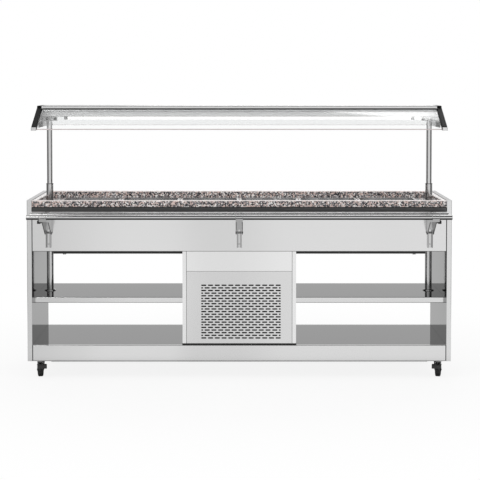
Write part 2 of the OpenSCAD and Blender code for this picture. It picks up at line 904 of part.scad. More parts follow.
// Rocker: a round back on a pin, with a shallow V at its front, at rest with its top pressed in
module rocker(x) {
    half = rocker_h / 2;
    color("black") rotate([0, 0, 180]) translate([x, -cabinet_y + rocker_axis, control_z])
        rotate([rocker_turn, 0, 0]) {
            along_x(rocker_w - 2 * fit_gap) intersection() {
                circle(r = half - body_gap);
                polygon([[-rocker_nose, 0], [-rocker_edge, half], [half, half], [half, -half],
                    [-rocker_edge, -half]]);
            }
            rotate([0, 90, 0])
                cylinder(h = rocker_w + rocker_wall + body_gap, r = rocker_pin_r, center = true);
        }
}
module cooling_switch() { rocker(rocker_x[0]); }
module lamp_switch() { rocker(rocker_x[1]); }

// Hermetic compressor on its base, with a terminal box and two pipe stubs
module compressor() {
    plate_z = base_t + rubber_h;
    dome_z = plate_z + pot_h + dome_r - past;
    color("dimgray") translate([compressor_x, compressor_y, deck_z]) {
        linear_extrude(base_t) difference() {
            rounded_rect(base_l, base_w, base_corner);
            for (x = [-1, 1], y = [-1, 1])
                translate([x * (base_l / 2 - base_edge), y * (base_w / 2 - base_edge)])
                    circle(r = base_hole_r);
        }
        for (x = [-1, 1], y = [-1, 1]) translate([x * rubber_at, y * rubber_at, base_t - past])
            cylinder(h = rubber_h + 2 * past, r = rubber_r);
        translate([0, 0, plate_z]) linear_extrude(base_t)
            rounded_rect(foot_plate, foot_plate, foot_plate_corner);
        translate([0, 0, plate_z + past]) rotate_extrude() {
            square([pot_r, pot_h - past]);
            translate([0, pot_h - 2 * past]) square([pot_r - dome_r + past, dome_r]);
            translate([pot_r - dome_r, pot_h - 2 * past]) intersection() {
                circle(r = dome_r);
                square([dome_r, dome_r]);
            }
        }
        translate([pot_r - base_edge / 2, -terminal_w / 2, plate_z + terminal_up])
            cube([terminal_l, terminal_w, terminal_h]);
        translate([-stub_at, 0, dome_z - 4 * past]) cylinder(h = stub_h + 4 * past, r = stub_r);
        translate([-stub_at, stub_out, dome_z - 4 * past])
            cylinder(h = stub_thin_h + 4 * past, r = stub_thin_r);
    }
}

// Finned condenser behind the front grille, between two tube sheets
module condenser() {
    fin_pitch = (coil_w - 2 * coil_end_t) / fin_count;
    color("silver") translate([coil_x - coil_w / 2, coil_y, deck_z]) {
        for (x = [0, coil_w - coil_end_t]) translate([x, 0, 0]) cube([coil_end_t, coil_d, coil_frame_h]);
        for (i = [1:fin_count - 1])
            translate([coil_end_t + i * fin_pitch - fin_t / 2, fin_back, fin_low])
                cube([fin_t, coil_d - 2 * fin_back, coil_h]);
        for (r = [1:coil_rows], side = [-1, 1])
            translate([coil_end_t / 2, coil_d / 2 + side * coil_d / 4,
                fin_low + (r - 0.5) * coil_h / coil_rows])
                rotate([0, 90, 0]) cylinder(h = coil_w - coil_end_t, r = coil_tube_r);
    }
}

// Shroud behind the condenser with the fan motor on its three arms
module fan_shroud() {
    shroud_y = coil_y + coil_d;
    ring_r = fan_r + fan_tip;
    color("dimgray") {
        translate([coil_x, shroud_y, 0]) {
            difference() {
                translate([-coil_w / 2, 0, deck_z]) cube([coil_w, shroud_t, coil_frame_h]);
                translate([0, -past, fan_z]) rotate([-90, 0, 0])
                    cylinder(h = shroud_t + 2 * past, r = ring_r);
            }
            for (a = [30, 150, 270]) translate([0, 0, fan_z]) rotate([0, a, 0]) {
                translate([motor_r - motor_post_t, motor_arm_y - motor_arm_t, -motor_arm_w / 2])
                    cube([ring_r + fan_tip - motor_r + motor_post_t, motor_arm_t, motor_arm_w]);
                translate([ring_r + fan_tip - motor_post_t, past, -motor_arm_w / 2])
                    cube([motor_post_t, motor_arm_y - past, motor_arm_w]);
            }
        }
        translate([fan_x, shroud_y + motor_back, fan_z]) rotate([-90, 0, 0]) {
            cylinder(h = motor_h, r = motor_r);
            translate([0, 0, -motor_back / 2 - motor_post_t])
                cylinder(h = motor_back / 2 + 2 * motor_post_t, r = fan_shaft_r);
        }
    }
}

// Rotor: a hub with five pitched blades
module fan_rotor() {
    color("black") translate([fan_x, fan_y, fan_z]) rotate([-90, 0, 0]) difference() {
        union() {
            cylinder(h = fan_h, r = fan_hub_r);
            intersection() {
                cylinder(h = fan_h, r = fan_r);
                for (i = [1:blade_count]) rotate([0, 0, i * 360 / blade_count])
                    translate([fan_r / 2, 0, fan_h / 2]) rotate([blade_pitch, 0, 0])
                        cube([fan_r, blade_w, blade_t], center = true);
            }
        }
        translate([0, 0, -past]) cylinder(h = fan_h + 2 * past, r = fan_shaft_r + pin_fit);
    }
}

// ---- Tray slides, drawn at the rear and mirrored to the front ----

// Wall channels on both fascias, open outwards, bored for the pivot pins and the clamp studs
module bracket_channels() {
    height = channel_high - channel_low;
    color("silver") both_faces() for (x = brackets_x)
        translate([x, face_y, channel_low]) difference() {
            translate([-channel_w / 2, 0, 0]) cube([channel_w, channel_d, height]);
            translate([-channel_w / 2 + channel_t, channel_t, -past])
                cube([channel_w - 2 * channel_t, channel_d, height + 2 * past]);
            translate([0, pivot_u, pivot_z - channel_low]) rotate([0, 90, 0])
                cylinder(h = channel_w + 2 * past, r = pivot_r + pin_fit, center = true);
            if (x != 0) translate([0, pivot_u, pivot_z + knob_up - channel_low])
                rotate([0, 90 * sign(x), 0])
                    cylinder(h = channel_w, r = stud_r + pin_fit);
        }
}

// Side plate of an arm in (u, Z), with saddles for the tubes
module arm_plate() {
    difference() {
        union() {
            polygon([[arm_heel_u, pivot_z], [arm_heel_u, arm_top], [arm_toe_u, arm_top],
                [arm_toe_u, arm_top - toe_h], [elbow_u, arm_top - elbow_h],
                [pivot_u + heel_r / 2, pivot_z - heel_r * 0.86]]);
            translate([pivot_u, pivot_z]) circle(r = heel_r);
        }
        for (u = tubes_u) translate([u, tube_z]) circle(r = tube_d / 2 + fit_gap);
    }
}

// Notch that lets a plate swing clear of the clamp stud
module stud_notch() {
    translate([pivot_u, pivot_z + knob_up]) circle(r = stud_r + 0.5);
    translate([arm_heel_u - past, pivot_z + knob_up - stud_r - 3])
        square([pivot_u - arm_heel_u + past, 2 * stud_r + 3.5]);
}

// Folding arms: two plates joined by a web, turning on a welded pin
module tray_arms() {
    web_u = channel_d + fit_gap;
    web_low = pivot_z + heel_r + 8;
    color("silver") translate([0, face_y, 0]) for (x = brackets_x) translate([x, 0, 0]) {
        for (s = [-1, 1]) translate([s * (arm_in + arm_t / 2), 0, 0]) along_x(arm_t)
            difference() {
                arm_plate();
                if (s == sign(x)) stud_notch();
            }
        translate([-arm_in - past, web_u, web_low])
            cube([2 * (arm_in + past), arm_t, tube_z - tube_d / 2 - 2 - web_low]);
        translate([-arm_in - past, arm_toe_u - arm_t, arm_top - toe_h])
            cube([2 * (arm_in + past), arm_t, toe_h]);
        translate([0, pivot_u, pivot_z]) rotate([0, 90, 0])
            cylinder(h = 2 * arm_out + 4, r = pivot_r, center = true);
    }
}
module front_tray_arms() { mirror([0, 1, 0]) tray_arms(); }
module rear_tray_arms() { tray_arms(); }

// Three tubes, each closed by a domed plug at either end
module tray_rails() {
    color("gainsboro") for (u = tubes_u) translate([0, face_y + u, tube_z]) rotate([0, 90, 0]) {
        difference() {
            cylinder(h = 2 * (tube_half - 2), r = tube_d / 2, center = true);
            cylinder(h = 2 * tube_half, r = tube_d / 2 - tube_t, center = true);
        }
        for (turn = [0, 180]) rotate([turn, 0, 0]) translate([0, 0, tube_half]) rotate_extrude() {
            translate([0, -2]) square([tube_d / 2 - 2, 2]);
            translate([tube_d / 2 - 2, -2]) intersection() {
                circle(r = 2);
                square([2, 2]);
            }
            translate([0, -plug_h]) square([tube_d / 2 - tube_t - 0.1, plug_h - 1]);
        }
    }
}
module front_tray_rails() { mirror([0, 1, 0]) tray_rails(); }
module rear_tray_rails() { tray_rails(); }

// Clamp knob on its stud, drawn at the rear right
module clamp_knob() {
    shoulder = arm_out + fit_gap;
    color("black") translate([brackets_x[2], face_y + pivot_u, pivot_z + knob_up])
        rotate([0, 90, 0]) {
            translate([0, 0, channel_w / 2 - channel_t - 2]) cylinder(h = 20, r = stud_r);
            translate([0, 0, shoulder]) cylinder(h = 3, r = knob_stem_r + 3);
            translate([0, 0, shoulder]) cylinder(h = knob_stem_h + 1, r = knob_stem_r);
            translate([0, 0, shoulder + knob_stem_h]) linear_extrude(knob_h) difference() {
                circle(r = knob_r);
                for (a = [0:60:359]) rotate([0, 0, a]) translate([knob_r + 1.2, 0]) circle(r = 2.6);
            }
        }
}
module clamp_knob_fl() { mirror([0, 1, 0]) mirror([1, 0, 0]) clamp_knob(); }
module clamp_knob_fr() { mirror([0, 1, 0]) clamp_knob(); }
module clamp_knob_rl() { mirror([1, 0, 0]) clamp_knob(); }
module clamp_knob_rr() { clamp_knob(); }

// ---- Posts and canopy ----

// Fixed sleeves with foot rings on the shelves, a stop ring inside for the lowered ram and a
// plastic bush in their tops
module post_sleeves() {
    both_sides() translate([post_x, 0, 0]) {
        color("gainsboro") difference() {
            union() {
                translate([0, 0, shelf_z]) cylinder(h = sleeve_z - shelf_z, r = sleeve_r);
                translate([0, 0, shelf_z]) cylinder(h = foot_h - 2, r = foot_r);
                translate([0, 0, shelf_z + foot_h - 2]) cylinder(h = 2, r1 = foot_r, r2 = foot_r - 2);
            }
            translate([0, 0, shelf_z - past])
                cylinder(h = sleeve_z - shelf_z + 2 * past, r = sleeve_bore);
        }
        color("gainsboro") translate([0, 0, stop_z - stop_h]) difference() {
            cylinder(h = stop_h, r = sleeve_bore + 0.1);
            translate([0, 0, -past]) cylinder(h = stop_h + 2 * past, r = ram_r - ram_t);
        }
        color("dimgray") difference() {
            union() {
                translate([0, 0, sleeve_z]) cylinder(h = bush_lip, r = sleeve_r + 1);
                translate([0, 0, sleeve_z - bush_h]) cylinder(h = bush_h + 1, r = sleeve_bore - 0.1);
            }
            translate([0, 0, sleeve_z - bush_h - past])
                cylinder(h = bush_h + bush_lip + 2 * past, r = ram_r + pin_fit);
        }
    }
}

// Sliding rams with a guide ring at their lower ends
module lift_rams() {
    color("silver") both_sides() translate([post_x, 0, 0]) difference() {
        union() {
            translate([0, 0, ram_low]) cylinder(h = head_z - ram_low, r = ram_r);
            translate([0, 0, ram_low]) cylinder(h = guide_h, r = sleeve_bore - fit_gap);
        }
        translate([0, 0, ram_low - past])
            cylinder(h = head_z - ram_low + 2 * past, r = ram_r - ram_t);
    }
}

// Head blocks on the rams and the steel gable plates that they carry
module post_heads() {
    color("lightgray") both_sides() {
        difference() {
            translate([post_x - head_out, -head_half_d, head_z - head_h])
                cube([bay_x - plate_t - post_x + head_out, 2 * head_half_d, head_h]);
            translate([post_x, 0, head_z - head_h - past])
                cylinder(h = head_h + 2 * past, r = ram_r + 0.05);
        }
        translate([bay_x - plate_t / 2 - 0.1, 0, 0]) along_x(plate_t - 0.2) gable_plate();
    }
}

// Gable plate in (Y, Z): fills the end below the dark profile
module gable_plate() {
    top = canopy_z - cap_h - fit_gap;
    polygon([[-gable_plate_y, gable_plate_low], [gable_plate_y, gable_plate_low],
        [gable_plate_y, under_gable(gable_plate_y)], [lamp_d / 2 + 4, top],
        [-lamp_d / 2 - 4, top], [-gable_plate_y, under_gable(gable_plate_y)]]);
}

// Height of the dark profile's lower edge at a distance y from the middle
function under_gable(y) = gable_outer(y) - gable_h / cos(glass_slope) - fit_gap;
// Height of the dark profile's upper edge at a distance y from the middle
function gable_outer(y) =
    glass_low_z + (glass_low_y - y) * tan(glass_slope) + glass_t / cos(glass_slope) / 2 + gable_rise;

// Ridge cap in (Y, Z): a crowned top, side grooves for the glass and inner walls
module canopy_cap() {
    top_t = 6;
    low = canopy_z - cap_h;
    color("silver") along_x(2 * (bay_x - fit_gap)) {
        translate([0, canopy_z - top_t / 2]) rounded_rect(cap_d, top_t, cap_round);
        for (s = [-1, 1]) {
            translate([s * (cap_y - cap_t / 2), canopy_z - top_t - 4])
                square([cap_t, 10], center = true);
            translate([s * (cap_y - cap_groove_d - cap_t / 2), low + cap_h / 2 - 2])
                square([cap_t, cap_h - 4], center = true);
            translate([s * (cap_y - (cap_groove_d + cap_t) / 2), low + cap_lip_h / 2])
                square([cap_groove_d + cap_t, cap_lip_h], center = true);
        }
    }
}

// The two sloping panes
module canopy_glass() {
    half = canopy_x - corner_cap_w;
    color("lightcyan", 0.4) both_faces()
        translate([0, -glass_low_y, glass_low_z]) rotate([glass_slope, 0, 0])
            translate([-half, 0, -glass_t / 2]) cube([2 * half, glass_w, glass_t]);
}

// Dark end profile in (Y, Z): both slopes and the flat top
module gable_arch() {
    toe_y = canopy_y - corner_len - fit_gap;
    drop = gable_h / cos(glass_slope);
    inner_y = cap_y - gable_h / 2;
    shoulder_y = cap_y + 4;
    polygon([
        [-toe_y, canopy_low], [-toe_y, gable_outer(toe_y)], [-shoulder_y, gable_outer(shoulder_y)],
        [-cap_y + 3, canopy_z], [cap_y - 3, canopy_z], [shoulder_y, gable_outer(shoulder_y)],
        [toe_y, gable_outer(toe_y)], [toe_y, canopy_low], [toe_y - 12, canopy_low],
        [inner_y, gable_outer(inner_y) - drop], [-inner_y, gable_outer(inner_y) - drop],
        [-toe_y + 12, canopy_low]]);
}
module canopy_gables() {
    color("dimgray") both_sides() translate([canopy_x - gable_w / 2, 0, 0])
        along_x(gable_w) gable_arch();
}

// Lamp housing: a channel between the gable plates, hanging under the ridge cap
module lamp_housing() {
    top = canopy_z - 6 - fit_gap;
    low = canopy_z - lamp_drop;
    color("gray") along_x(2 * (bay_x - plate_t - fit_gap)) difference() {
        translate([0, (top + low) / 2]) rounded_rect(lamp_d, top - low, 3);
        translate([0, (top + low) / 2 + lamp_wall])
            square([lamp_d - 2 * lamp_wall, top - low], center = true);
    }
}

// Lamp tube with its two holders
module lamp_tube() {
    tube_x = bay_x - lamp_short;
    color("white") {
        rotate([0, 90, 0]) translate([-lamp_z, 0, 0])
            cylinder(h = 2 * tube_x, r = lamp_tube_d / 2, center = true);
        both_sides() translate([tube_x - 1, -lamp_tube_d / 2 - 2, lamp_z - lamp_tube_d / 2 - 2])
            cube([18, lamp_tube_d + 4, lamp_tube_d + 2.6]);
    }
}

// Chrome caps at the canopy's four corners and the dark screws of the heads and gable plates
module canopy_fittings() {
    color("gainsboro") both_sides() both_faces()
        translate([canopy_x + corner_side - corner_cap_w / 2, canopy_y - corner_len / 2,
            canopy_low - corner_drop])
            linear_extrude(corner_high) rounded_rect(corner_cap_w, corner_len, corner_r);
    color("black") both_sides() both_faces() {
        for (x = [-head_screw_out, head_screw_in])
            translate([post_x + x, head_half_d, head_z - head_h / 2]) rotate([-90, 0, 0])
                cylinder(h = cap_screw_h, r = cap_screw_r);
        for (y = gable_bolts_y)
            translate([bay_x - plate_t, y, gable_plate_low + gable_bolt_up]) rotate([0, -90, 0])
                cylinder(h = cap_screw_h, r = cap_screw_r - 1);
    }
}

// ---- Castors ----

// Places what is drawn round a swivel axis, trailing towards +Y, under one corner
module at_castor(sx, sy) {
    translate([sx * castor_x, sy * castor_y, 0])
        rotate([0, 0, atan2(-sx * sin(castor_turn), -sy * cos(castor_turn))]) children();
}

// Mounting plates with the upper race, kingpin and nut
module castor_plates() {
    plate_z = castor_h - castor_plate_t;
    pin_low = fork_top_z - fork_top_t - nut_h;
    color("dimgray") both_sides() both_faces() translate([castor_x, castor_y, 0]) difference() {
        union() {
            translate([0, 0, plate_z]) linear_extrude(castor_plate_t)
                rounded_rect(castor_side, castor_side, castor_corner);
            translate([0, 0, fork_top_z + fit_gap]) cylinder(h = race_h, r = race_r);
            translate([0, 0, pin_low]) cylinder(h = plate_z - pin_low + past, r = kingpin_r);
            translate([0, 0, pin_low - fit_gap]) cylinder(h = nut_h, r = kingpin_nut_r);
        }
        for (i = [-1, 1], j = [-1, 1]) translate([i * castor_hole, j * castor_hole, plate_z - past])
            cylinder(h = castor_plate_t + 2 * past, r = castor_hole_r);
    }
}

// Fork: top plate and two legs, with the axle and the pin of the brake pedal
module castor_fork(sx, sy) {
    top = fork_top_z;
    foot_y = castor_trail;
    side_w = 2 * (fork_gap + fork_t);
    color("black") at_castor(sx, sy) {
        difference() {
            union() {
                translate([0, 0, top - fork_top_t]) cylinder(h = fork_top_t, r = race_r);
                translate([-side_w / 2, -fork_front, top - fork_top_t])
                    cube([side_w, fork_front + race_r, fork_top_t]);
            }
            translate([0, 0, top - fork_top_t - past])
                cylinder(h = fork_top_t + 2 * past, r = kingpin_r + pin_fit);
        }
        for (s = [-1, 1]) translate([s * (fork_gap + fork_t / 2), 0, 0]) along_x(fork_t) {
            polygon([[-fork_front, top], [race_r, top], [foot_y + fork_foot_r, wheel_r + fork_foot_r + 2],
                [foot_y + fork_foot_r, wheel_r], [foot_y - fork_foot_r, wheel_r],
                [-fork_front, pedal_z - pedal_boss_r - 1]]);
            translate([foot_y, wheel_r]) circle(r = fork_foot_r);
        }
        translate([0, foot_y, wheel_r]) rotate([0, 90, 0])
            cylinder(h = side_w + 2 * axle_end, r = axle_r, center = true);
        translate([0, pedal_y, pedal_z]) rotate([0, 90, 0])
            cylinder(h = side_w, r = pedal_pin_r, center = true);
    }
}
module castor_fork_fl() { castor_fork(-1, -1); }
module castor_fork_fr() { castor_fork(1, -1); }
module castor_fork_rl() { castor_fork(-1, 1); }
module castor_fork_rr() { castor_fork(1, 1); }

// Wheel: a hub, a thin web and a tread with rounded shoulders
module wheel(sx, sy) {
    hub = fork_gap - fit_gap;
    bore = axle_r + pin_fit;
    flat = wheel_w / 2 - tread_r;
    color("black") at_castor(sx, sy) translate([0, castor_trail, wheel_r]) rotate([0, 90, 0])
        rotate_extrude() {
            translate([bore, -hub]) square([hub_wall, 2 * hub]);
            translate([bore + hub_wall / 2, -web_t / 2])
                square([wheel_r - bore - hub_wall / 2 - tread_h / 2, web_t]);
            translate([wheel_r - tread_h, -wheel_w / 2]) square([tread_h - tread_r, wheel_w]);
            translate([wheel_r - tread_r - 1, -flat]) square([tread_r + 1, 2 * flat]);
            for (s = [-1, 1]) translate([wheel_r - tread_r, s * flat]) circle(r = tread_r);
        }
}
module wheel_fl() { wheel(-1, -1); }
module wheel_fr() { wheel(1, -1); }
module wheel_rl() { wheel(-1, 1); }
module wheel_rr() { wheel(1, 1); }

// Brake pedal on the fork's pin: a boss with a shoe, a neck and a wide tread plate in front
module brake_pedal(sx, sy) {
    neck = -fork_front - pedal_y - 6;
    color("black") at_castor(sx, sy) translate([0, pedal_y, pedal_z]) {
        along_x(2 * fork_gap - 1) difference() {
            union() {
                circle(r = pedal_boss_r);
                rotate([0, 0, pedal_shoe_angle]) translate([pedal_shoe_at, 0])
                    circle(r = pedal_shoe_r);
                polygon([[0, pedal_boss_r], [neck - past, pedal_up - 1],
                    [neck - past, pedal_up - 1 - pedal_t], [-pedal_boss_r + 1, 0]]);
            }
            circle(r = pedal_pin_r + pin_fit);
        }
        along_x(pedal_w) polygon([[neck, pedal_up - 1], [-pedal_reach + 4, pedal_up],
            [-pedal_reach, pedal_up - 5], [-pedal_reach, -pedal_down], [pedal_t - pedal_reach, -pedal_down],
            [pedal_t - pedal_reach, pedal_up - 7], [neck, pedal_up - 1 - pedal_t]]);
    }
}
module brake_pedal_fl() { brake_pedal(-1, -1); }
module brake_pedal_fr() { brake_pedal(1, -1); }

// ---- Small hardware of the carcass ----

// Screws of the channels, bolts of the castors and the rubber feet under the well's casing
module screws() {
    plate_z = castor_h - castor_plate_t;
    color("gray") {
        both_faces() for (x = brackets_x)
            translate([x, face_y + channel_t, screw_z]) rotate([-90, 0, 0])
                cylinder(h = channel_screw_h, r = channel_screw_r);
        both_sides() both_faces() {
            for (i = [-1, 1], j = [-1, 1])
                translate([castor_x + i * castor_hole, castor_y + j * castor_hole, 0]) {
                    translate([0, 0, plate_z - nut_h]) cylinder(h = nut_h, r = nut_r, $fn = 6);
                    translate([0, 0, plate_z - past])
                        cylinder(h = castor_plate_t + rail_t + 2 * nut_h, r = castor_bolt_r);
                }
            translate([casing_l / 2 - casing_foot_in, casing_w / 2 - channel_w / 2,
                casing_z - casing_foot_h])
                cylinder(h = casing_foot_h, r = casing_foot_r);
        }
    }
}

left_end_panel();
right_end_panel();
deck_sheet();
base_frame();
left_shelf();
right_shelf();
fascias();
worktop();
stone_rim();
well_tub();
well_insulation();
well_casing();
pan_bearers();
pan_1();
pan_2();
pan_3();
pan_4();
pan_5();
pan_6();
post_sleeves();
machine_housing();
upper_panels();
grille_panels();
control_modules();
cooling_switch();
lamp_switch();
compressor();
condenser();
fan_shroud();
fan_rotor();
drain_pipe();
bracket_channels();
screws();
castor_plates();
castor_fork_fl();
castor_fork_fr();
castor_fork_rl();
castor_fork_rr();
wheel_fl();
wheel_fr();
wheel_rl();
wheel_rr();
brake_pedal_fl();
brake_pedal_fr();
front_tray_rails();
front_tray_arms();
rear_tray_rails();
rear_tray_arms();
clamp_knob_fl();
clamp_knob_fr();
clamp_knob_rl();
clamp_knob_rr();
lift_rams();
canopy_cap();
canopy_glass();
canopy_gables();
lamp_housing();
lamp_tube();
canopy_fittings();
post_heads();
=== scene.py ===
# %% [markdown]
# # Dressing a mobile salad bar
#
# The bar is a stainless island on castors. Two side bays are open from front to back, a machine
# compartment with a slotted grille stands between them, six food pans hang in a cold well framed
# by speckled stone, tubes for sliding trays run along both long sides, and a glass canopy with a
# lamp stands on two telescopic posts. All its solids come ready from the construction model. This
# lesson lights them, gives each one a finish, and adds the thin pieces that a solid model leaves
# out: seals, weld beads, caps, pipes and keys.

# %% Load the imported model
import math

import bmesh
import bpy
import numpy as np
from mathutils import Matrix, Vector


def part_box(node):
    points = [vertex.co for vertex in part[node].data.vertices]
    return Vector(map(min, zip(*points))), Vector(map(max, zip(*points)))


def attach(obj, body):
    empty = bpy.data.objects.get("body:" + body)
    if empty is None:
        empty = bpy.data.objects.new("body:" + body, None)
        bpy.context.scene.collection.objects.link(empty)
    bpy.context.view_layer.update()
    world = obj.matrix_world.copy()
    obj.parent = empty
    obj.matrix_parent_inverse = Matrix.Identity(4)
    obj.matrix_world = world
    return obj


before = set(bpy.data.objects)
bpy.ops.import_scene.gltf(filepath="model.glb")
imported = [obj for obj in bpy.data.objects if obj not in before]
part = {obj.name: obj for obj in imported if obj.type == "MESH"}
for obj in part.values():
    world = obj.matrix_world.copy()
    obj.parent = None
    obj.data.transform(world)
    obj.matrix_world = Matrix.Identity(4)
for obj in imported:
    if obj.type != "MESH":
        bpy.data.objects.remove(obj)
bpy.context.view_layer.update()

# %% [markdown]
# ## The camera
#
# The picture was taken from the front with a long lens at about the height of a standing guest.
# The uprights stay almost parallel, which a camera gives when it looks level and its lens is
# shifted down. A shift moves the picture in every other view too, so half of the way is done by a
# gentle tilt and the rest by a small shift.

# %% Camera
CAMERA_PLACE = (0.0038, -8.51, 1.61)
CAMERA_TILT = 2.508
LENS_MM = 115.96
LENS_SHIFT = -0.2

camera = bpy.data.objects.new("camera", bpy.data.cameras.new("camera"))
bpy.context.scene.collection.objects.link(camera)
bpy.context.scene.camera = camera
camera.location = CAMERA_PLACE
camera.rotation_euler = (math.radians(90 - CAMERA_TILT), 0, 0)
camera.data.sensor_width = 36
camera.data.lens = LENS_MM
camera.data.shift_y = LENS_SHIFT
camera.data.clip_end = 200
print("camera at", CAMERA_PLACE, "tilted", CAMERA_TILT, "degrees")

# %% [markdown]
# ## Shader nodes in one line
#
# Every finish below is a small tree of nodes. Building one takes three moves again and again: make
# a node, set its options, then fill or link its sockets. A helper does all three.

# %% Node helpers
def node(tree, kind, sockets=None, **options):
    """Makes a shader node, sets its options, and fills each named socket or links it."""
    made = tree.nodes.new(kind)
    for name, value in options.items():
        setattr(made, name, value)
    for name, value in (sockets or {}).items():
        if isinstance(value, bpy.types.NodeSocket):
            tree.links.new(value, made.inputs[name])
        else:
            made.inputs[name].default_value = value
    return made


def new_finish(name):
    """A material with its tree, its shader and the place of each point on the object."""
    finish = bpy.data.materials.new(name)
    finish.use_nodes = True
    tree = finish.node_tree
    return finish, tree, tree.nodes["Principled BSDF"], node(tree, "ShaderNodeTexCoord").outputs["Object"]


def connect(tree, shader, **links):
    """Links outputs to the shader's sockets: Base_Color=output stands for the socket Base Color."""
    for name, output in links.items():
        tree.links.new(output, shader.inputs[name.replace("_", " ")])


def rgba(tone):
    """A grey from one number, or a colour from three, with alpha 1."""
    return (tone, tone, tone, 1) if isinstance(tone, (int, float)) else (*tone, 1)


def blend_tones(tree, factor, first, second):
    """Colour that goes from first to second as the factor goes from 0 to 1."""
    sockets = {0: factor}
    for index, tone in ((6, first), (7, second)):
        sockets[index] = tone if isinstance(tone, bpy.types.NodeSocket) else rgba(tone)
    return node(tree, "ShaderNodeMix", sockets, data_type="RGBA").outputs[2]


def spread(tree, value, low, high, start=0.0, end=1.0):
    """Stretches value so that start becomes low and end becomes high, and stops there."""
    return node(tree, "ShaderNodeMapRange", {
        "Value": value, "From Min": start, "From Max": end, "To Min": low, "To Max": high}).outputs[0]


def along(tree, place, axis):
    """One coordinate of the place, 0, 1 or 2 for X, Y or Z."""
    return node(tree, "ShaderNodeSeparateXYZ", {0: place}).outputs[axis]


def off_middle(tree, place, axis):
    """How far the place lies from the middle plane along one axis."""
    return maths(tree, "ABSOLUTE", along(tree, place, axis))


def past(tree, place, axis, limit, soft=0.0004):
    """1 where the coordinate is above the limit and 0 below it, with an edge that is soft wide."""
    return spread(tree, along(tree, place, axis), 0, 1, limit - soft / 2, limit + soft / 2)


def noise(tree, place, stretch, detail=3.0, rough=0.6):
    """Noise whose grains are one over stretch long along X, Y and Z, in metres."""
    mapped = node(tree, "ShaderNodeMapping", {"Vector": place, "Scale": stretch}).outputs[0]
    return node(tree, "ShaderNodeTexNoise", {
        "Vector": mapped, "Scale": 1.0, "Detail": detail, "Roughness": rough}).outputs[0]


def bump(tree, shader, height, depth, strength=0.5):
    """Lifts the surface's light by a height of 0 to 1 times depth, in metres."""
    lifted = node(tree, "ShaderNodeBump", {"Height": height, "Distance": depth, "Strength": strength})
    connect(tree, shader, Normal=lifted.outputs[0])


def maths(tree, operation, first, second=0.0):
    """The result of one sum, such as ADD, MULTIPLY or ABSOLUTE."""
    return node(tree, "ShaderNodeMath", {0: first, 1: second}, operation=operation).outputs[0]


def steps(tree, value, *stops):
    """Tones at the given values from 0 to 1, with a straight slope from each to the next."""
    made = node(tree, "ShaderNodeValToRGB", {0: value})
    ramp = made.color_ramp
    ramp.elements.remove(ramp.elements[1])
    ramp.elements[0].position, ramp.elements[0].color = stops[0][0], rgba(stops[0][1])
    for position, tone in stops[1:]:
        ramp.elements.new(position).color = rgba(tone)
    return made.outputs[0]


# %% [markdown]
# ## The studio
#
# The bar stands on a white sweep. To a camera ray the world is white at strength 1, and so it is
# to a ray that has gone through the glass. Diffuse rays find a weaker sky, so that the stone and
# the rubber keep their shading. Mirror rays find a studio: polished steel has no tone of its own
# and shows what stands round it. It is white before and behind the bar, has dark flags to the
# sides, which draw the dark flanks of the posts, and darkens overhead, which darkens the tops of
# the tubes.

# %% World
SKY_LIGHT = 0.6
FLAG_TONE = 0.1
CEILING_TONE = 0.12


def side_flags(tree, x, y):
    """Tone by the angle of (x, y) from the front: white before and behind, dark to the sides."""
    turned = maths(tree, "ARCTAN2", x, maths(tree, "MULTIPLY", y, -1))
    turned = maths(tree, "DIVIDE", maths(tree, "ABSOLUTE", turned), math.pi)
    return steps(tree, turned, (0.22, 1), (0.28, FLAG_TONE), (0.45, FLAG_TONE), (0.48, 0.7), (0.52, 0.7),
                 (0.55, FLAG_TONE), (0.68, FLAG_TONE), (0.74, 1))


world = bpy.data.worlds.new("studio")
bpy.context.scene.world = world
world.use_nodes = True
tree = world.node_tree
sky = tree.nodes["Background"]
rays = node(tree, "ShaderNodeLightPath").outputs
way = node(tree, "ShaderNodeTexCoord").outputs["Generated"]
way = node(tree, "ShaderNodeSeparateXYZ", {0: way}).outputs
aside = maths(tree, "ABSOLUTE", maths(tree, "ARCTAN2", way[0], maths(tree, "MULTIPLY", way[1], -1)))
ahead = spread(tree, aside, 1, 0, 0.6, 0.85)
low_ceiling = spread(tree, way[2], 1, CEILING_TONE, 0.22, 0.45)
high_ceiling = spread(tree, way[2], 1, 0.6, 0.7, 0.95)
ceiling = node(tree, "ShaderNodeMix", {0: ahead, 2: high_ceiling, 3: low_ceiling}).outputs[0]
mirrored = maths(tree, "MULTIPLY", side_flags(tree, way[0], way[1]), ceiling)
through = maths(tree, "MAXIMUM", rays["Is Camera Ray"], rays["Is Transmission Ray"])
strength = node(tree, "ShaderNodeMix", {0: rays["Is Glossy Ray"], 2: SKY_LIGHT, 3: mirrored}).outputs[0]
strength = node(tree, "ShaderNodeMix", {0: through, 2: strength, 3: 1.0}).outputs[0]
sky.inputs["Color"].default_value = (1, 1, 1, 1)
tree.links.new(strength, sky.inputs["Strength"])
print("sky strength", SKY_LIGHT, "for diffuse rays, 1 where it is seen")

# %% [markdown]
# Large faces of sheet that look at the camera show the studio before them as broad upright bands,
# darker at one end. The bands are drawn once, as tones across X, and used twice: on a light wall
# that only mirror rays see, and on the floor. The floor keeps a faint shadow for the camera,
# carries a painted shadow under the bar for mirror rays, and fades into the white further out,
# which hides the horizon.

# %% Surfaces from arrays
def surface(name, points, faces):
    """Puts an array of points and a list of faces into a new mesh object."""
    mesh = bpy.data.meshes.new(name)
    mesh.from_pydata(points.tolist(), [], [list(face) for face in faces])
    mesh.update()
    made = bpy.data.objects.new(name, mesh)
    bpy.context.scene.collection.objects.link(made)
    return made


PANEL_TONE, END_TONE, STRIP_TONE = 0.94, 0.76, 0.84


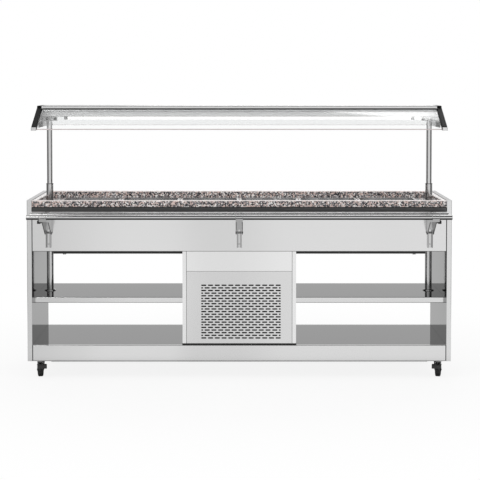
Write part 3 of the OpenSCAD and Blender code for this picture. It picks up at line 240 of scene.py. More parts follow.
def bands(tree, place, reach):
    """Light across X for a reach to either side of the middle: a dim left end and a dim strip."""
    across = spread(tree, along(tree, place, 0), 0, 1, -reach, reach)
    return steps(tree, across, (0.0, END_TONE), (0.2, PANEL_TONE), (0.35, PANEL_TONE), (0.4, STRIP_TONE),
                 (0.5, STRIP_TONE), (0.6, PANEL_TONE))


# %% Floor
FLOOR_HALF = 30
FLOOR_BANDS = 1.32
SHADOW_RADIUS = (1.2, 2.6)
SHADOW_SHARE = 0.12
FLAG_RADIUS = (3.0, 4.2)
STEEP_TONE = 0.1
UNDER_X, UNDER_Y = 1.15, 0.62

sheet = np.array([(-1, -1, 0), (1, -1, 0), (1, 1, 0), (-1, 1, 0)], float)
floor = surface("floor", sheet * FLOOR_HALF, [(0, 1, 2, 3)])
sweep, tree, paint, place = new_finish("white_sweep")
paint.inputs["Base Color"].default_value = rgba(0.86)
paint.inputs["Roughness"].default_value = 0.9
rays = node(tree, "ShaderNodeLightPath").outputs
# Painted shadow for mirror rays: under the bar the floor's mirror tone drops to 0.15, standing in for the
# bar's shadow.
under_x = spread(tree, off_middle(tree, place, 0), 1, 0, UNDER_X, UNDER_X + 0.25)
under_y = spread(tree, off_middle(tree, place, 1), 1, 0, UNDER_Y, UNDER_Y + 0.3)
painted_shadow_under_bar = spread(tree, maths(tree, "MULTIPLY", under_x, under_y), 1, 0.15)
away = node(tree, "ShaderNodeVectorMath", {0: place}, operation="LENGTH").outputs["Value"]
flags = side_flags(tree, along(tree, place, 0), along(tree, place, 1))
far = spread(tree, away, 0, 1, *FLAG_RADIUS)
flags = node(tree, "ShaderNodeMix", {0: far, 2: 1.0, 3: flags}).outputs[0]
slant = node(tree, "ShaderNodeLayerWeight", {"Blend": 0.5}).outputs["Facing"]
slant = spread(tree, slant, STEEP_TONE, 1, 0.45, 0.68)
mirrored = maths(tree, "MULTIPLY", painted_shadow_under_bar, bands(tree, place, FLOOR_BANDS))
mirrored = maths(tree, "MULTIPLY", mirrored, maths(tree, "MULTIPLY", flags, slant))
through = maths(tree, "MAXIMUM", rays["Is Camera Ray"], rays["Is Transmission Ray"])
strength = node(tree, "ShaderNodeMix", {0: through, 2: mirrored, 3: 1.0}).outputs[0]
glow = node(tree, "ShaderNodeEmission", {"Color": rgba(1), "Strength": strength})
share = spread(tree, away, 1 - SHADOW_SHARE, 1, *SHADOW_RADIUS)
share = maths(tree, "MAXIMUM", maths(tree, "MULTIPLY", share, through), rays["Is Glossy Ray"])
mixed = node(tree, "ShaderNodeMixShader", {0: share, 1: paint.outputs[0], 2: glow.outputs[0]})
tree.links.new(mixed.outputs[0], tree.nodes["Material Output"].inputs["Surface"])
floor.data.materials.append(sweep)
print("floor keeps", SHADOW_SHARE, "of the shadow")

# %% Light wall
WALL_Y = -4.35
WALL_HALF = 5
WALL_TOP = 2.2
WALL_BANDS = 1.63

wall = surface("light_wall", sheet[:, [0, 2, 1]] * (WALL_HALF, 1, WALL_TOP / 2) + (0, WALL_Y, WALL_TOP / 2),
               [(0, 1, 2, 3)])
for sight in ("camera", "diffuse", "transmission", "volume_scatter", "shadow"):
    setattr(wall, "visible_" + sight, False)
cloth, tree, paint, place = new_finish("wall_cloth")
paint.inputs["Base Color"].default_value = rgba(0)
paint.inputs["Roughness"].default_value = 1
paint.inputs["Emission Strength"].default_value = 1
tree.links.new(bands(tree, place, WALL_BANDS), paint.inputs["Emission Color"])
wall.data.materials.append(cloth)
print("light wall at Y", WALL_Y)

# %% Soft boxes
def soft_box(name, place, target, size, watts):
    """A square lamp of that size in metres at place, turned to its target."""
    lamp = bpy.data.lights.new(name, "AREA")
    lamp.shape, lamp.size, lamp.energy = "SQUARE", size, watts
    holder = bpy.data.objects.new(name, lamp)
    bpy.context.scene.collection.objects.link(holder)
    direction = np.subtract(target, place)
    turn = math.atan2(direction[1], direction[0])
    drop = math.atan2(-direction[2], math.hypot(direction[0], direction[1]))
    holder.rotation_euler = (math.pi / 2 - drop, 0, turn - math.pi / 2)
    holder.location = place
    print(name, watts, "W,", size, "m wide")


soft_box("key_lamp", (-3.2, -4.6, 4.2), (0, 0, 0.8), 3.0, 130)
soft_box("fill_lamp", (3.6, -4.0, 3.2), (0, 0, 0.8), 3.0, 70)
soft_box("back_lamp", (0.5, 4.5, 4.0), (0, 0, 0.9), 3.0, 70)

# %% [markdown]
# ## Stainless sheet
#
# Rolled sheet is brushed: fine scratches all run one way, so its shine is drawn out across them.
# A noise that is stretched along the brushing gives the scratches, and the same noise drives the
# tone, the roughness and a bump of a few hundredths of a millimetre. A second, much larger noise
# clouds the tone the way handling does.

# %% Brushed sheet
GRAIN = {"x": (4, 700, 700), "y": (700, 4, 700), "z": (700, 700, 4)}


def brushed_sheet(name, tone, grain, rough=0.12, edge=0.8):
    """Brushed steel of that tone, its scratches along the axis grain, its grazing tone edge."""
    finish, tree, shader, place = new_finish(name)
    lines = noise(tree, place, GRAIN[grain], 4, 0.7)
    clouds = noise(tree, place, (2.2, 2.2, 2.2), 2, 0.5)
    streaked = blend_tones(tree, lines, tone * 0.965, min(tone * 1.03, 1))
    clouded = blend_tones(tree, spread(tree, clouds, 0, 0.4, 0.35, 0.65), streaked, tone * 0.96)
    gloss = spread(tree, lines, rough - 0.02, rough + 0.03, 0.3, 0.7)
    connect(tree, shader, Base_Color=clouded, Roughness=gloss)
    shader.inputs["Metallic"].default_value = 1
    shader.inputs["Specular Tint"].default_value = rgba(edge)
    bump(tree, shader, lines, 0.00002, 0.2)
    return finish, tree, shader, place


CORNERS = ("fl", "fr", "rl", "rr")


def wear(finish, *names):
    """Puts a finish on each of the named nodes."""
    for name in names:
        for slot in part[name].material_slots:
            slot.material = finish
    print(finish.name, "on", ", ".join(names))


def over(tree, shader, mask, tone, rough=None):
    """Lays another tone, and a roughness if one is given, over the finish where the mask is 1."""
    below = shader.inputs["Base Color"].links[0].from_socket
    connect(tree, shader, Base_Color=blend_tones(tree, mask, below, tone))
    if rough is not None:
        gloss = shader.inputs["Roughness"].links[0].from_socket
        gloss = node(tree, "ShaderNodeMix", {0: mask, 2: gloss, 3: rough})
        connect(tree, shader, Roughness=gloss.outputs[0])


wear(brushed_sheet("cabinet_steel", 0.84, "z")[0], "machine_housing", "upper_panels")
wear(brushed_sheet("grille_steel", 0.72, "z")[0], "grille_panels")
wear(brushed_sheet("skirt_steel", 0.74, "x")[0], "base_frame")
wear(brushed_sheet("well_steel", 0.60, "x", 0.2)[0], "well_tub", "pan_bearers", "worktop")
# Painted shade: the well casing is near black, standing in for the shade under the fascia where it shows.
wear(brushed_sheet("casing_steel_painted_shade", 0.045, "x", 0.35)[0], "well_casing")
wear(brushed_sheet("screw_steel", 0.48, "z", 0.14)[0], "screws")
wear(brushed_sheet("arm_steel", 0.42, "z", 0.12)[0], "front_tray_arms", "rear_tray_arms")

# %% [markdown]
# The wall channels of the tray brackets are painted brighter along their middle than at their folded
# flanks: a painted highlight on the face that looks forward and painted shade on the flanks. The
# feet of the gable plates are near black and matt.

# %% Channels and post heads
CHANNEL_X, CHANNEL_HIGHLIGHT_HALF = 1.01, 0.0042
PLATE_X = 1.0705
FOOT_TOP = 1.364
FOOT_Y = 0.085

channel_finish, tree, shader, place = brushed_sheet("channel_steel", 0.40, "z", 0.14)
reach = off_middle(tree, place, 0)
reach = maths(tree, "MINIMUM", reach, maths(tree, "ABSOLUTE", maths(tree, "SUBTRACT", reach, CHANNEL_X)))
# Painted highlight: the middle of each channel is lighter than its flanks, which keep the darker tone as
# painted shade.
over(tree, shader, spread(tree, reach, 1, 0, CHANNEL_HIGHLIGHT_HALF, CHANNEL_HIGHLIGHT_HALF + 0.001), 0.62)
wear(channel_finish, "bracket_channels")

head_finish, tree, shader, place = brushed_sheet("head_steel", 0.46, "y", 0.22, 0.6)
# The low outer foot of each gable plate is near black and rough.
plate = spread(tree, off_middle(tree, place, 0), 0, 1, PLATE_X, PLATE_X + 0.0003)
low = spread(tree, along(tree, place, 2), 1, 0, FOOT_TOP - 0.004, FOOT_TOP)
outer = spread(tree, off_middle(tree, place, 1), 0, 1, FOOT_Y, FOOT_Y + 0.006)
over(tree, shader, maths(tree, "MULTIPLY", plate, maths(tree, "MULTIPLY", low, outer)), 0.01, 0.85)
wear(head_finish, "post_heads")

# %% [markdown]
# Three sheets change on the way. The fascia's top strip under the stone is painted shade: a
# near-black tone standing in for the shade there. The end panels are brushed outside, but their
# liners are polished, and so are the deck and the tops of the shelves, where crates slide. Their
# darker tone is painted reflection, the dark that polished sheet mirrors at a glancing angle; the
# tone at such an angle is what Specular Tint sets. The place of a point tells one face from the other.

# %% Fascias, liners and polished tops
SHADE_STRIP_LOW = 0.893
LINER_X = 1.1003
SHELF_TOP = 0.429

fascia_finish, tree, shader, place = brushed_sheet("fascia_steel", 0.745, "x", 0.11)
# Painted shade: the fascia's top strip, under the stone, is near black and rougher.
over(tree, shader, past(tree, place, 2, SHADE_STRIP_LOW, 0.001), 0.10, 0.3)
wear(fascia_finish, "fascias")

end_finish, tree, shader, place = brushed_sheet("end_steel_and_painted_reflection", 0.73, "z", 0.13, 0.56)
reach = off_middle(tree, place, 0)
# Painted reflection: the liner faces get a darker tone and low roughness; the darker tone stands in for
# what they mirror.
over(tree, shader, spread(tree, reach, 1, 0, LINER_X - 0.0002, LINER_X + 0.0002), 0.42, 0.07)
wear(end_finish, "left_end_panel", "right_end_panel")

# Painted reflection: the whole deck takes a dark tone for the dark it mirrors at a glancing angle.
wear(brushed_sheet("deck_steel_painted_reflection", 0.42, "x", 0.05, 0.52)[0], "deck_sheet")
shelf_finish, tree, shader, place = brushed_sheet("shelf_steel_and_painted_reflection", 0.72, "x", 0.12, 0.5)
# Painted reflection: the shelf tops are darker than their fronts, a shaded copy of the same steel.
over(tree, shader, past(tree, place, 2, SHELF_TOP - 0.0008), 0.40, 0.05)
wear(shelf_finish, "left_shelf", "right_shelf")

# %% Pressed pans
def pressed_steel(name, tone, rough):
    """Bright steel out of a press: no scratches, soft clouds in tone and shine."""
    finish, tree, shader, place = new_finish(name)
    clouds = noise(tree, place, (14, 14, 14), 4, 0.6)
    connect(tree, shader, Base_Color=blend_tones(tree, clouds, tone * 0.94, tone * 1.05),
            Roughness=spread(tree, clouds, rough - 0.05, rough + 0.06, 0.3, 0.7))
    shader.inputs["Metallic"].default_value = 1
    bump(tree, shader, clouds, 0.0002, 0.2)
    return finish


wear(pressed_steel("pan_steel", 0.68, 0.22), *["pan_%d" % count for count in range(1, 7)])

# %% [markdown]
# ## Tubes and posts
#
# Polished tube is nearly a mirror. Faint rings from the buffing wheel go round it, so the noise is
# drawn out round the tube and short along it. The sleeves end in a black bush, which shows above
# their tops.

# %% Polished tubes
def polished_tube(name, tone, axis, edge=0.7):
    """Buffed steel, its faint rings across the axis, its grazing tone edge."""
    finish, tree, shader, place = new_finish(name)
    stretch = [40, 40, 40]
    stretch["xyz".index(axis)] = 700
    rings = noise(tree, place, stretch, 3, 0.6)
    connect(tree, shader, Base_Color=blend_tones(tree, rings, tone * 0.96, tone * 1.03),
            Roughness=spread(tree, rings, 0.07, 0.12, 0.3, 0.7))
    shader.inputs["Metallic"].default_value = 1
    shader.inputs["Specular Tint"].default_value = rgba(edge)
    bump(tree, shader, rings, 0.00001, 0.1)
    return finish, tree, shader, place


wear(polished_tube("rail_steel", 0.70, "x")[0], "front_tray_rails", "rear_tray_rails")
wear(polished_tube("ram_steel", 0.66, "z", 0.5)[0], "lift_rams")

SLEEVE_TOP = 1.017
sleeve_finish, tree, shader, place = polished_tube("sleeve_steel", 0.60, "z", 0.5)
bush = past(tree, place, 2, SLEEVE_TOP)
steel_tone = shader.inputs["Base Color"].links[0].from_socket
connect(tree, shader, Base_Color=blend_tones(tree, bush, steel_tone, 0.03),
        Metallic=spread(tree, bush, 1, 0), Roughness=spread(tree, bush, 0.14, 0.5))
wear(sleeve_finish, "post_sleeves")

# %% [markdown]
# ## Speckled stone
#
# The rim is polished stone of three grains: rosy feldspar, pale quartz and dark mica. Voronoi
# cells give grains with straight edges. One set of cells, five millimetres wide, picks rosy or
# pale by chance, and a second, finer and bent by noise, drops the dark grains in between.

# %% Stone
ROSE, QUARTZ, GREY = (0.55, 0.42, 0.38), (0.74, 0.71, 0.69), (0.22, 0.205, 0.21)
MICA, TOP_HIGHLIGHT_TONE = (0.035, 0.033, 0.037), (0.80, 0.72, 0.70)
STONE_TOP = 0.954


def speckled_stone(name, top):
    """Grains of rose, pale and dark on Voronoi cells, with a painted highlight on the rounded top edge and
    the top face.
    """
    finish, tree, shader, place = new_finish(name)
    bent = node(tree, "ShaderNodeVectorMath", {
        0: place, 1: node(tree, "ShaderNodeVectorMath", {
            0: node(tree, "ShaderNodeTexNoise", {"Vector": place, "Scale": 90.0}).outputs[1],
            1: (0.006, 0.006, 0.006)}, operation="MULTIPLY").outputs[0]}, operation="ADD").outputs[0]
    coarse = node(tree, "ShaderNodeTexVoronoi", {"Vector": bent, "Scale": 125.0})
    fine = node(tree, "ShaderNodeTexVoronoi", {"Vector": bent, "Scale": 190.0})
    chance = node(tree, "ShaderNodeSeparateXYZ", {0: coarse.outputs["Color"]}).outputs
    drop = node(tree, "ShaderNodeSeparateXYZ", {0: fine.outputs["Color"]}).outputs
    pale = blend_tones(tree, spread(tree, chance[0], 0, 1, 0.52, 0.56), ROSE, QUARTZ)
    grey = blend_tones(tree, spread(tree, chance[1], 0, 1, 0.64, 0.68), pale, GREY)
    dark = blend_tones(tree, spread(tree, drop[0], 0, 1, 0.56, 0.60), grey, MICA)
    # Painted highlight: the rounded top edge and the top face blend towards a pale tone for the light they
    # catch.
    arris_highlight = spread(tree, along(tree, place, 2), 0, 0.8, top - 0.0048, top - 0.004)
    face = past(tree, place, 2, top - 0.0004)
    top_highlight = node(tree, "ShaderNodeMix", {0: face, 2: arris_highlight, 3: 0.45}).outputs[0]
    connect(tree, shader, Base_Color=blend_tones(tree, top_highlight, dark, TOP_HIGHLIGHT_TONE))
    shader.inputs["Roughness"].default_value = 0.22
    shader.inputs["Coat Weight"].default_value = 0.6
    shader.inputs["Coat Roughness"].default_value = 0.08
    bump(tree, shader, coarse.outputs["Distance"], 0.0002, 0.15)
    return finish


wear(speckled_stone("rim_stone", STONE_TOP), "stone_rim")

# %% [markdown]
# ## The canopy
#
# The ridge is drawn aluminium with die lines along it. Its crown is painted darker, painted shade on
# the top face, and the groove that holds the panes is painted near black as painted shade. The end
# profiles have a dark coat. The panes are clear. A pane's ground edge catches the light inside it
# and looks tinted, so the low edge gets a tint of its own.

# %% Aluminium and coats
def drawn_aluminium(name, tone, rough, metal=1.0):
    """Aluminium with fine die lines along X."""
    finish, tree, shader, place = new_finish(name)
    lines = noise(tree, place, (1.5, 700, 700), 3, 0.6)
    connect(tree, shader, Base_Color=blend_tones(tree, lines, tone * 0.97, tone * 1.03),
            Roughness=spread(tree, lines, rough - 0.03, rough + 0.03, 0.3, 0.7))
    shader.inputs["Metallic"].default_value = metal
    bump(tree, shader, lines, 0.00002, 0.1)
    return finish, tree, shader, place


SHADED_CROWN_LOW = 1.4462
GROOVE_LOW, GROOVE_HIGH, GROOVE_Y = 1.4251, 1.4359, 0.1062

ridge, tree, shader, place = drawn_aluminium("ridge_aluminium", 0.70, 0.25)
# Painted shade: the crown above its lower edge is darker than the front faces.
over(tree, shader, past(tree, place, 2, SHADED_CROWN_LOW), 0.40)
# Painted shade: the groove between the lips, where the panes enter, is near black and rougher.
inside = spread(tree, off_middle(tree, place, 1), 1, 0, GROOVE_Y - 0.0003, GROOVE_Y)
above_lip = past(tree, place, 2, GROOVE_LOW)
below_lip = spread(tree, along(tree, place, 2), 1, 0, GROOVE_HIGH - 0.0003, GROOVE_HIGH)
groove = maths(tree, "MULTIPLY", inside, maths(tree, "MULTIPLY", above_lip, below_lip))
over(tree, shader, groove, 0.05, 0.4)
wear(ridge, "canopy_cap")

coat, tree, shader, place = drawn_aluminium("gable_coat", 0.022, 0.35)
shader.inputs["Specular Tint"].default_value = rgba(0.6)
wear(coat, "canopy_gables")
wear(drawn_aluminium("housing_aluminium", 0.62, 0.3)[0], "lamp_housing")

# %% Glass
LOW_EDGE = 1.3305

glass, tree, shader, place = new_finish("pane_glass")
edge = spread(tree, along(tree, place, 2), 1, 0, LOW_EDGE, LOW_EDGE + 0.001)
streaks = noise(tree, place, (3, 12, 12), 2, 0.5)
clear = blend_tones(tree, streaks, (0.955, 0.965, 0.965), (0.985, 0.99, 0.99))
connect(tree, shader, Base_Color=blend_tones(tree, edge, clear, (0.95, 0.92, 0.92)))
shader.inputs["Roughness"].default_value = 0.02
shader.inputs["IOR"].default_value = 1.35
shader.inputs["Transmission Weight"].default_value = 1
wear(glass, "canopy_glass")
part["canopy_glass"].visible_shadow = False

# %% Lamp
HOLDER_X = 0.9438

lamp_finish, tree, shader, place = new_finish("lamp_white")
clouds = noise(tree, place, (3, 60, 60), 2, 0.5)
connect(tree, shader, Base_Color=blend_tones(tree, clouds, 0.86, 0.94))
shader.inputs["Roughness"].default_value = 0.3
holder = spread(tree, off_middle(tree, place, 0), 0, 1, HOLDER_X, HOLDER_X + 0.0004)
over(tree, shader, holder, 0.22)
connect(tree, shader, Emission_Color=blend_tones(tree, holder, (1, 0.985, 0.96), 0))
shader.inputs["Emission Strength"].default_value = 1.1
wear(lamp_finish, "lamp_tube")

# %% [markdown]
# ## Coats, plastics and rubber
#
# Painted and moulded surfaces aren't metal. Paint has a faint orange peel, moulded plastic a fine
# spark-eroded grain, and rubber is matt with a little dust in its tone.

# %% Coats and plastics
def coated(name, tone, rough, grain=900, depth=0.00005, metal=0.0):
    """Paint, plastic or rubber: a tone, a roughness and a fine grain of that depth."""
    finish, tree, shader, place = new_finish(name)
    peel = noise(tree, place, (grain,) * 3, 2, 0.5)
    dust = noise(tree, place, (30, 30, 30), 3, 0.6)
    low, high = (tuple(share * value for value in rgba(tone)[:3]) for share in (0.85, 1.2))
    connect(tree, shader, Base_Color=blend_tones(tree, dust, low, high),
            Roughness=spread(tree, dust, rough - 0.06, rough + 0.08, 0.3, 0.7))
    shader.inputs["Metallic"].default_value = metal
    bump(tree, shader, peel, depth, 0.3)
    return finish, tree, shader, place


# Painted shade: behind the grilles the condenser, shroud and fan are near black, standing in for the shade
# there; the compressor shares the black paint.
wear(coated("machine_paint_and_shade", 0.02, 0.7, 500, 0.0001)[0], "compressor", "fan_shroud", "condenser")
wear(coated("fan_plastic_and_shade", 0.012, 0.75)[0], "fan_rotor")
wear(coated("module_plastic", 0.02, 0.45)[0], "control_modules")
wear(coated("rocker_plastic", 0.03, 0.35)[0], "cooling_switch", "lamp_switch")
wear(coated("drain_plastic", 0.16, 0.45)[0], "drain_pipe")
wear(coated("foam_grain", (0.62, 0.55, 0.34), 0.9, 300, 0.0008)[0], "well_insulation")
wear(coated("zinc_plate", 0.34, 0.38, 120, 0.0001, 1.0)[0], "castor_plates")
wear(coated("fork_coat", 0.03, 0.35, 500, 0.0001)[0],
     *["castor_fork_" + corner for corner in CORNERS], "brake_pedal_fl", "brake_pedal_fr")
wear(coated("knob_plastic", 0.015, 0.4)[0],
     *["clamp_knob_" + corner for corner in CORNERS])

# %% Corner caps and bolts
CAP_INNER = 1.0705

caps, tree, shader, place = new_finish("cap_chrome")
cap = spread(tree, off_middle(tree, place, 0), 0, 1, CAP_INNER - 0.0002, CAP_INNER + 0.0002)
clouds = noise(tree, place, (60, 60, 60), 2, 0.5)
bright = blend_tones(tree, clouds, 0.66, 0.74)
connect(tree, shader, Base_Color=blend_tones(tree, cap, 0.04, bright),
        Roughness=spread(tree, clouds, 0.12, 0.24))
shader.inputs["Metallic"].default_value = 1
wear(caps, "canopy_fittings")

# %% Wheels
HUB_RADIUS = 0.0265


def wheel_finish(name, centre):
    """Rubber tread outside the hub's radius, grey plastic inside it, told apart by the distance."""
    finish, tree, shader, place = coated(name, 0.022, 0.62, 700, 0.0001)
    away = node(tree, "ShaderNodeVectorMath", {0: place, 1: centre}, operation="DISTANCE")
    tread = spread(tree, away.outputs["Value"], 0, 1, HUB_RADIUS, HUB_RADIUS + 0.0004)
    rubber = shader.inputs["Base Color"].links[0].from_socket
    connect(tree, shader, Base_Color=blend_tones(tree, tread, 0.085, rubber))
    return finish


for corner in CORNERS:
    low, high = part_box("wheel_" + corner)
    wear(wheel_finish("tread_" + corner, tuple((low + high) / 2)), "wheel_" + corner)

# %% [markdown]
# ## Pieces of the scene
#
# What follows is too thin or too small for the solid model, but the eye misses it: rubber beads in
# the joints, weld beads at the trays, caps, keys and pipes. Each is a profile carried along a line
# or turned round an axis, worked out as one array of points.

# %% Grids and bodies
def quads(rows, around, wrap=False):
    """Four-cornered faces of a grid: each point with the next in its ring and in the next ring."""
    row, column = np.meshgrid(np.arange(rows if wrap else rows - 1), np.arange(around), indexing="ij")
    row, column = row.ravel(), column.ravel()
    after, beside = (row + 1) % rows, (column + 1) % around
    corners = (row * around + column, after * around + column,
               after * around + beside, row * around + beside)
    return np.stack(corners, 1).tolist()


def skin(rings, wrap=False):
    """Rings of points, shaped (rings, around, 3), as a closed skin: its ends are flat faces."""
    rows, around = rings.shape[:2]
    faces = quads(rows, around, wrap)
    if not wrap:
        faces += [list(range(around)), list(range((rows - 1) * around, rows * around))]
    return rings.reshape(-1, 3), faces


def piece(name, body, finish, skins):
    """Joins skins in one mesh, turns its faces outwards, smooths it and puts it on a body."""
    starts = np.cumsum([0] + [len(points) for points, faces in skins])
    faces = [[corner + start for corner in face]
             for (_, own_faces), start in zip(skins, starts) for face in own_faces]
    made = surface(name, np.concatenate([points for points, faces in skins]), faces)
    shell = bmesh.new()
    shell.from_mesh(made.data)
    bmesh.ops.recalc_face_normals(shell, faces=shell.faces)
    shell.to_mesh(made.data)
    shell.free()
    made.data.shade_smooth()
    made.data.set_sharp_from_angle(angle=math.radians(40))
    made.data.materials.append(finish)
    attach(made, body)
    print(name, "of", len(skins), "parts rides on", body)
    return made


def carried(profile, start, end):
    """A closed profile of (u, v) carried straight from start to end along X, Y or Z.

    The profile's u and v are the two coordinates that stay, in the order X, Y, Z.
    """
    start, end = np.array(start, float), np.array(end, float)
    axis = int(np.argmax(np.abs(end - start)))
    flat = np.insert(np.array(profile, float), axis, 0, axis=1)
    return skin(np.stack([flat + start, flat + end]))


def turned(profile, centre, axis, around=24):
    """A profile of (radius, height) turned round a line through centre along X, Y or Z."""
    profile = np.array(profile, float)
    angle = np.arange(around) * 2 * np.pi / around
    first, second = [(1, 2), (2, 0), (0, 1)][axis]
    points = np.zeros((len(profile), around, 3))
    points[..., first] = profile[:, :1] * np.cos(angle)
    points[..., second] = profile[:, :1] * np.sin(angle)
    points[..., axis] = profile[:, 1:]
    return skin(points + np.array(centre))


def hoop(radius, thick, centre, axis, around=32, section=8, ripple=0.0, ripples=0):
    """A ring of that radius whose section is thick in radius, and swells by ripple as it goes round."""
    angle = (np.arange(around) * 2 * np.pi / around)[:, None]
    turn = np.arange(section) * 2 * np.pi / section
    swell = thick * (1 + ripple * np.cos(ripples * angle))
    points = np.zeros((around, section, 3))
    first, second = [(1, 2), (2, 0), (0, 1)][axis]
    points[..., first] = (radius + swell * np.cos(turn)) * np.cos(angle)
    points[..., second] = (radius + swell * np.cos(turn)) * np.sin(angle)
    points[..., axis] = swell * np.sin(turn)
    return skin(points + np.array(centre), wrap=True)


# %% [markdown]
# ## Rubber beads
#
# Black rubber closes the joints: upright beads stand in the seams between the end panels and the
# long sheets, a bead runs under the stone, a kick strip runs along the foot of the machine
# compartment, and a wedge holds each pane in the groove of the ridge.

# %% Beads and seals
SIDES = (-1, 1)
rubber = coated("seal_rubber", 0.014, 0.6, 500, 0.00005)[0]


def half_round(width, height):
    """A bead's section: flat behind, round in front, u across and v forwards."""
    angle = np.linspace(0, np.pi, 9)
    return np.stack([width / 2 * np.cos(angle), height * np.sin(angle)], 1)


SEAM_X, SEAM_Y, SEAM_WIDTH = 1.0977, 0.3462, 0.0038
GRILLE_Y, PANE_REACH = 0.3302, 1.069
seams = [(0.0975, 0.1815), (0.6825, 0.9165)]
piece("seam_beads", "cart", rubber, [
    carried(half_round(SEAM_WIDTH, 0.0012) * (1, front), (side * SEAM_X, front * SEAM_Y, low),
            (side * SEAM_X, front * SEAM_Y, high))
    for side in SIDES for front in SIDES for low, high in seams])

RIM_BEAD = [(0, 0.9169), (0.0035, 0.9169), (0.0045, 0.9175),
            (0.0045, 0.9182), (0.0035, 0.9189), (0, 0.9189)]
piece("rim_beads", "cart", rubber, [
    carried(np.array(RIM_BEAD) * (front, 1), (-1.098, front * 0.3482, 0), (1.098, front * 0.3482, 0))
    for front in SIDES])

KICK = [(0, 0.1821), (0.0172, 0.1821), (0.0172, 0.1828), (0.0035, 0.1832),
        (0.0022, 0.1845), (0.0022, 0.188), (0.0015, 0.1894), (0, 0.1894)]
piece("kick_strips", "cart", rubber, [
    carried(np.array(KICK) * (front, 1), (-0.3035, front * GRILLE_Y, 0), (0.3035, front * GRILLE_Y, 0))
    for front in SIDES])

POST_SEAM = 0.281
piece("panel_gaskets", "cart", coated("gasket_rubber", 0.05, 0.6, 500, 0.00005)[0], [
    carried(half_round(0.0022, 0.0008) * (1, front), (side * POST_SEAM, front * GRILLE_Y, 0.190),
            (side * POST_SEAM, front * GRILLE_Y, 0.681))
    for side in SIDES for front in SIDES])

WEDGE = [(0.1086, 1.4346), (0.1151, 1.4358), (0.1153, 1.4375), (0.1170, 1.4374), (0.1235, 1.4306),
         (0.1246, 1.4284)]
piece("glazing_wedges", "canopy", coated("wedge_rubber", 0.06, 0.6, 500, 0.00005)[0], [
    carried(np.array(WEDGE) * (front, 1), (-PANE_REACH, 0, 0), (PANE_REACH, 0, 0)) for front in SIDES])

# %% Pane edges
# The pane's middle plane falls from PANE_HIGH to PANE_LOW, as (Y, Z). PANE_HALF is half its thickness.
PANE_HIGH, PANE_LOW, PANE_HALF = (0.108, 1.4313), (0.358, 1.330), 0.003
fall = np.subtract(PANE_LOW, PANE_HIGH)
fall = fall / np.hypot(*fall)
rise = np.array((-fall[1], fall[0]))


def on_pane(down, up):
    """The (Y, Z) point that lies down the pane's slope from its low edge, and up from its middle."""
    return np.array(PANE_LOW) + down * fall + up * rise


EDGE = [on_pane(0.0001, PANE_HALF), on_pane(0.0007, PANE_HALF - 0.0003),
        on_pane(0.0007, 0.0003 - PANE_HALF), on_pane(0.0001, -PANE_HALF)]
ground = coated("ground_edge", (0.56, 0.50, 0.50), 0.35, 500, 0.00003)[0]
piece("pane_edge_strips", "canopy", ground, [
    carried(np.array(EDGE) * (front, 1), (-PANE_REACH, 0, 0), (PANE_REACH, 0, 0)) for front in SIDES])

LIP_RISE, LIP_DEPTH = 0.03, 0.009


def pane_gasket(side, front):
    """A flat gasket between a pane's end and the gable, with a lip that hangs under the pane."""
    length = np.hypot(*np.subtract(PANE_LOW, PANE_HIGH))
    outline = [on_pane(-length + 0.012, PANE_HALF + 0.001), on_pane(0, PANE_HALF + 0.001),
               on_pane(0, -PANE_HALF - 0.001), on_pane(-LIP_RISE, -PANE_HALF - LIP_DEPTH),
               on_pane(-length + 0.012, -PANE_HALF - LIP_DEPTH)]
    outline = np.array(outline) * (front, 1)
    faces = [np.insert(outline, 0, side * reach, axis=1) for reach in (1.0701, 1.0739)]
    return skin(np.stack(faces))


piece("pane_end_gaskets", "canopy", rubber,
      [pane_gasket(side, front) for side in SIDES for front in SIDES])

# %% [markdown]
# ## Small caps and welds
#
# Domed caps cover the screws of the post heads. The tubes are welded to their arms: a weld bead is
# a ring whose thickness swells in even scales, as the torch moves on step by step.

# %% Domes and welds
def dome(radius, height):
    """The profile of a flat-backed dome: (radius, height) from its rim to its top."""
    angle = np.linspace(0, np.pi / 2 - 0.02, 8)
    curve = np.stack([radius * np.cos(angle), height * np.sin(angle)], 1)
    return np.concatenate([[(radius * 0.02, 0)], curve])


HEAD_Y, HEAD_SCREW_Z = 0.0181, 1.3737
cap_black = coated("cap_plastic", 0.012, 0.4)[0]
piece("head_caps", "canopy", cap_black, [
    turned(dome(0.0088, 0.0062) * (1, front), (side * x, front * HEAD_Y, HEAD_SCREW_Z), 1)
    for side in SIDES for front in SIDES for x in (1.012, 1.055)])

TUBES_Y, TUBE_Z, TUBE_R = (0.385, 0.443, 0.590), 0.885, 0.0125
PLATES_X = [x + side * 0.018 for x in (-1.01, 0, 1.01) for side in SIDES]
weld_steel = pressed_steel("weld_steel", 0.42, 0.3)
for name, front in (("front", -1), ("rear", 1)):
    piece(name + "_tray_welds", name + "_tray", weld_steel, [
        hoop(TUBE_R + 0.0004, 0.0012, (x, front * y, TUBE_Z), 0, 48, 6, 0.25, 24)
        for y in TUBES_Y for x in PLATES_X])

# %% [markdown]
# ## Behind the grilles
#
# A mat of black foam catches the dust before the air enters the condenser. Its near-black tone is
# painted shade, which makes the slots look black. Its face is a grid whose height is a product of
# two sine waves, like an egg tray.

# %% Filter mat
MAT_X, MAT_Z, MAT_BACK, MAT_FRONT = (-0.204, 0.222), (0.184, 0.518), -0.2703, -0.2733
MAT_ROWS, MAT_COLUMNS = 121, 97
CELL, CELL_DEPTH = 0.014, 0.0012

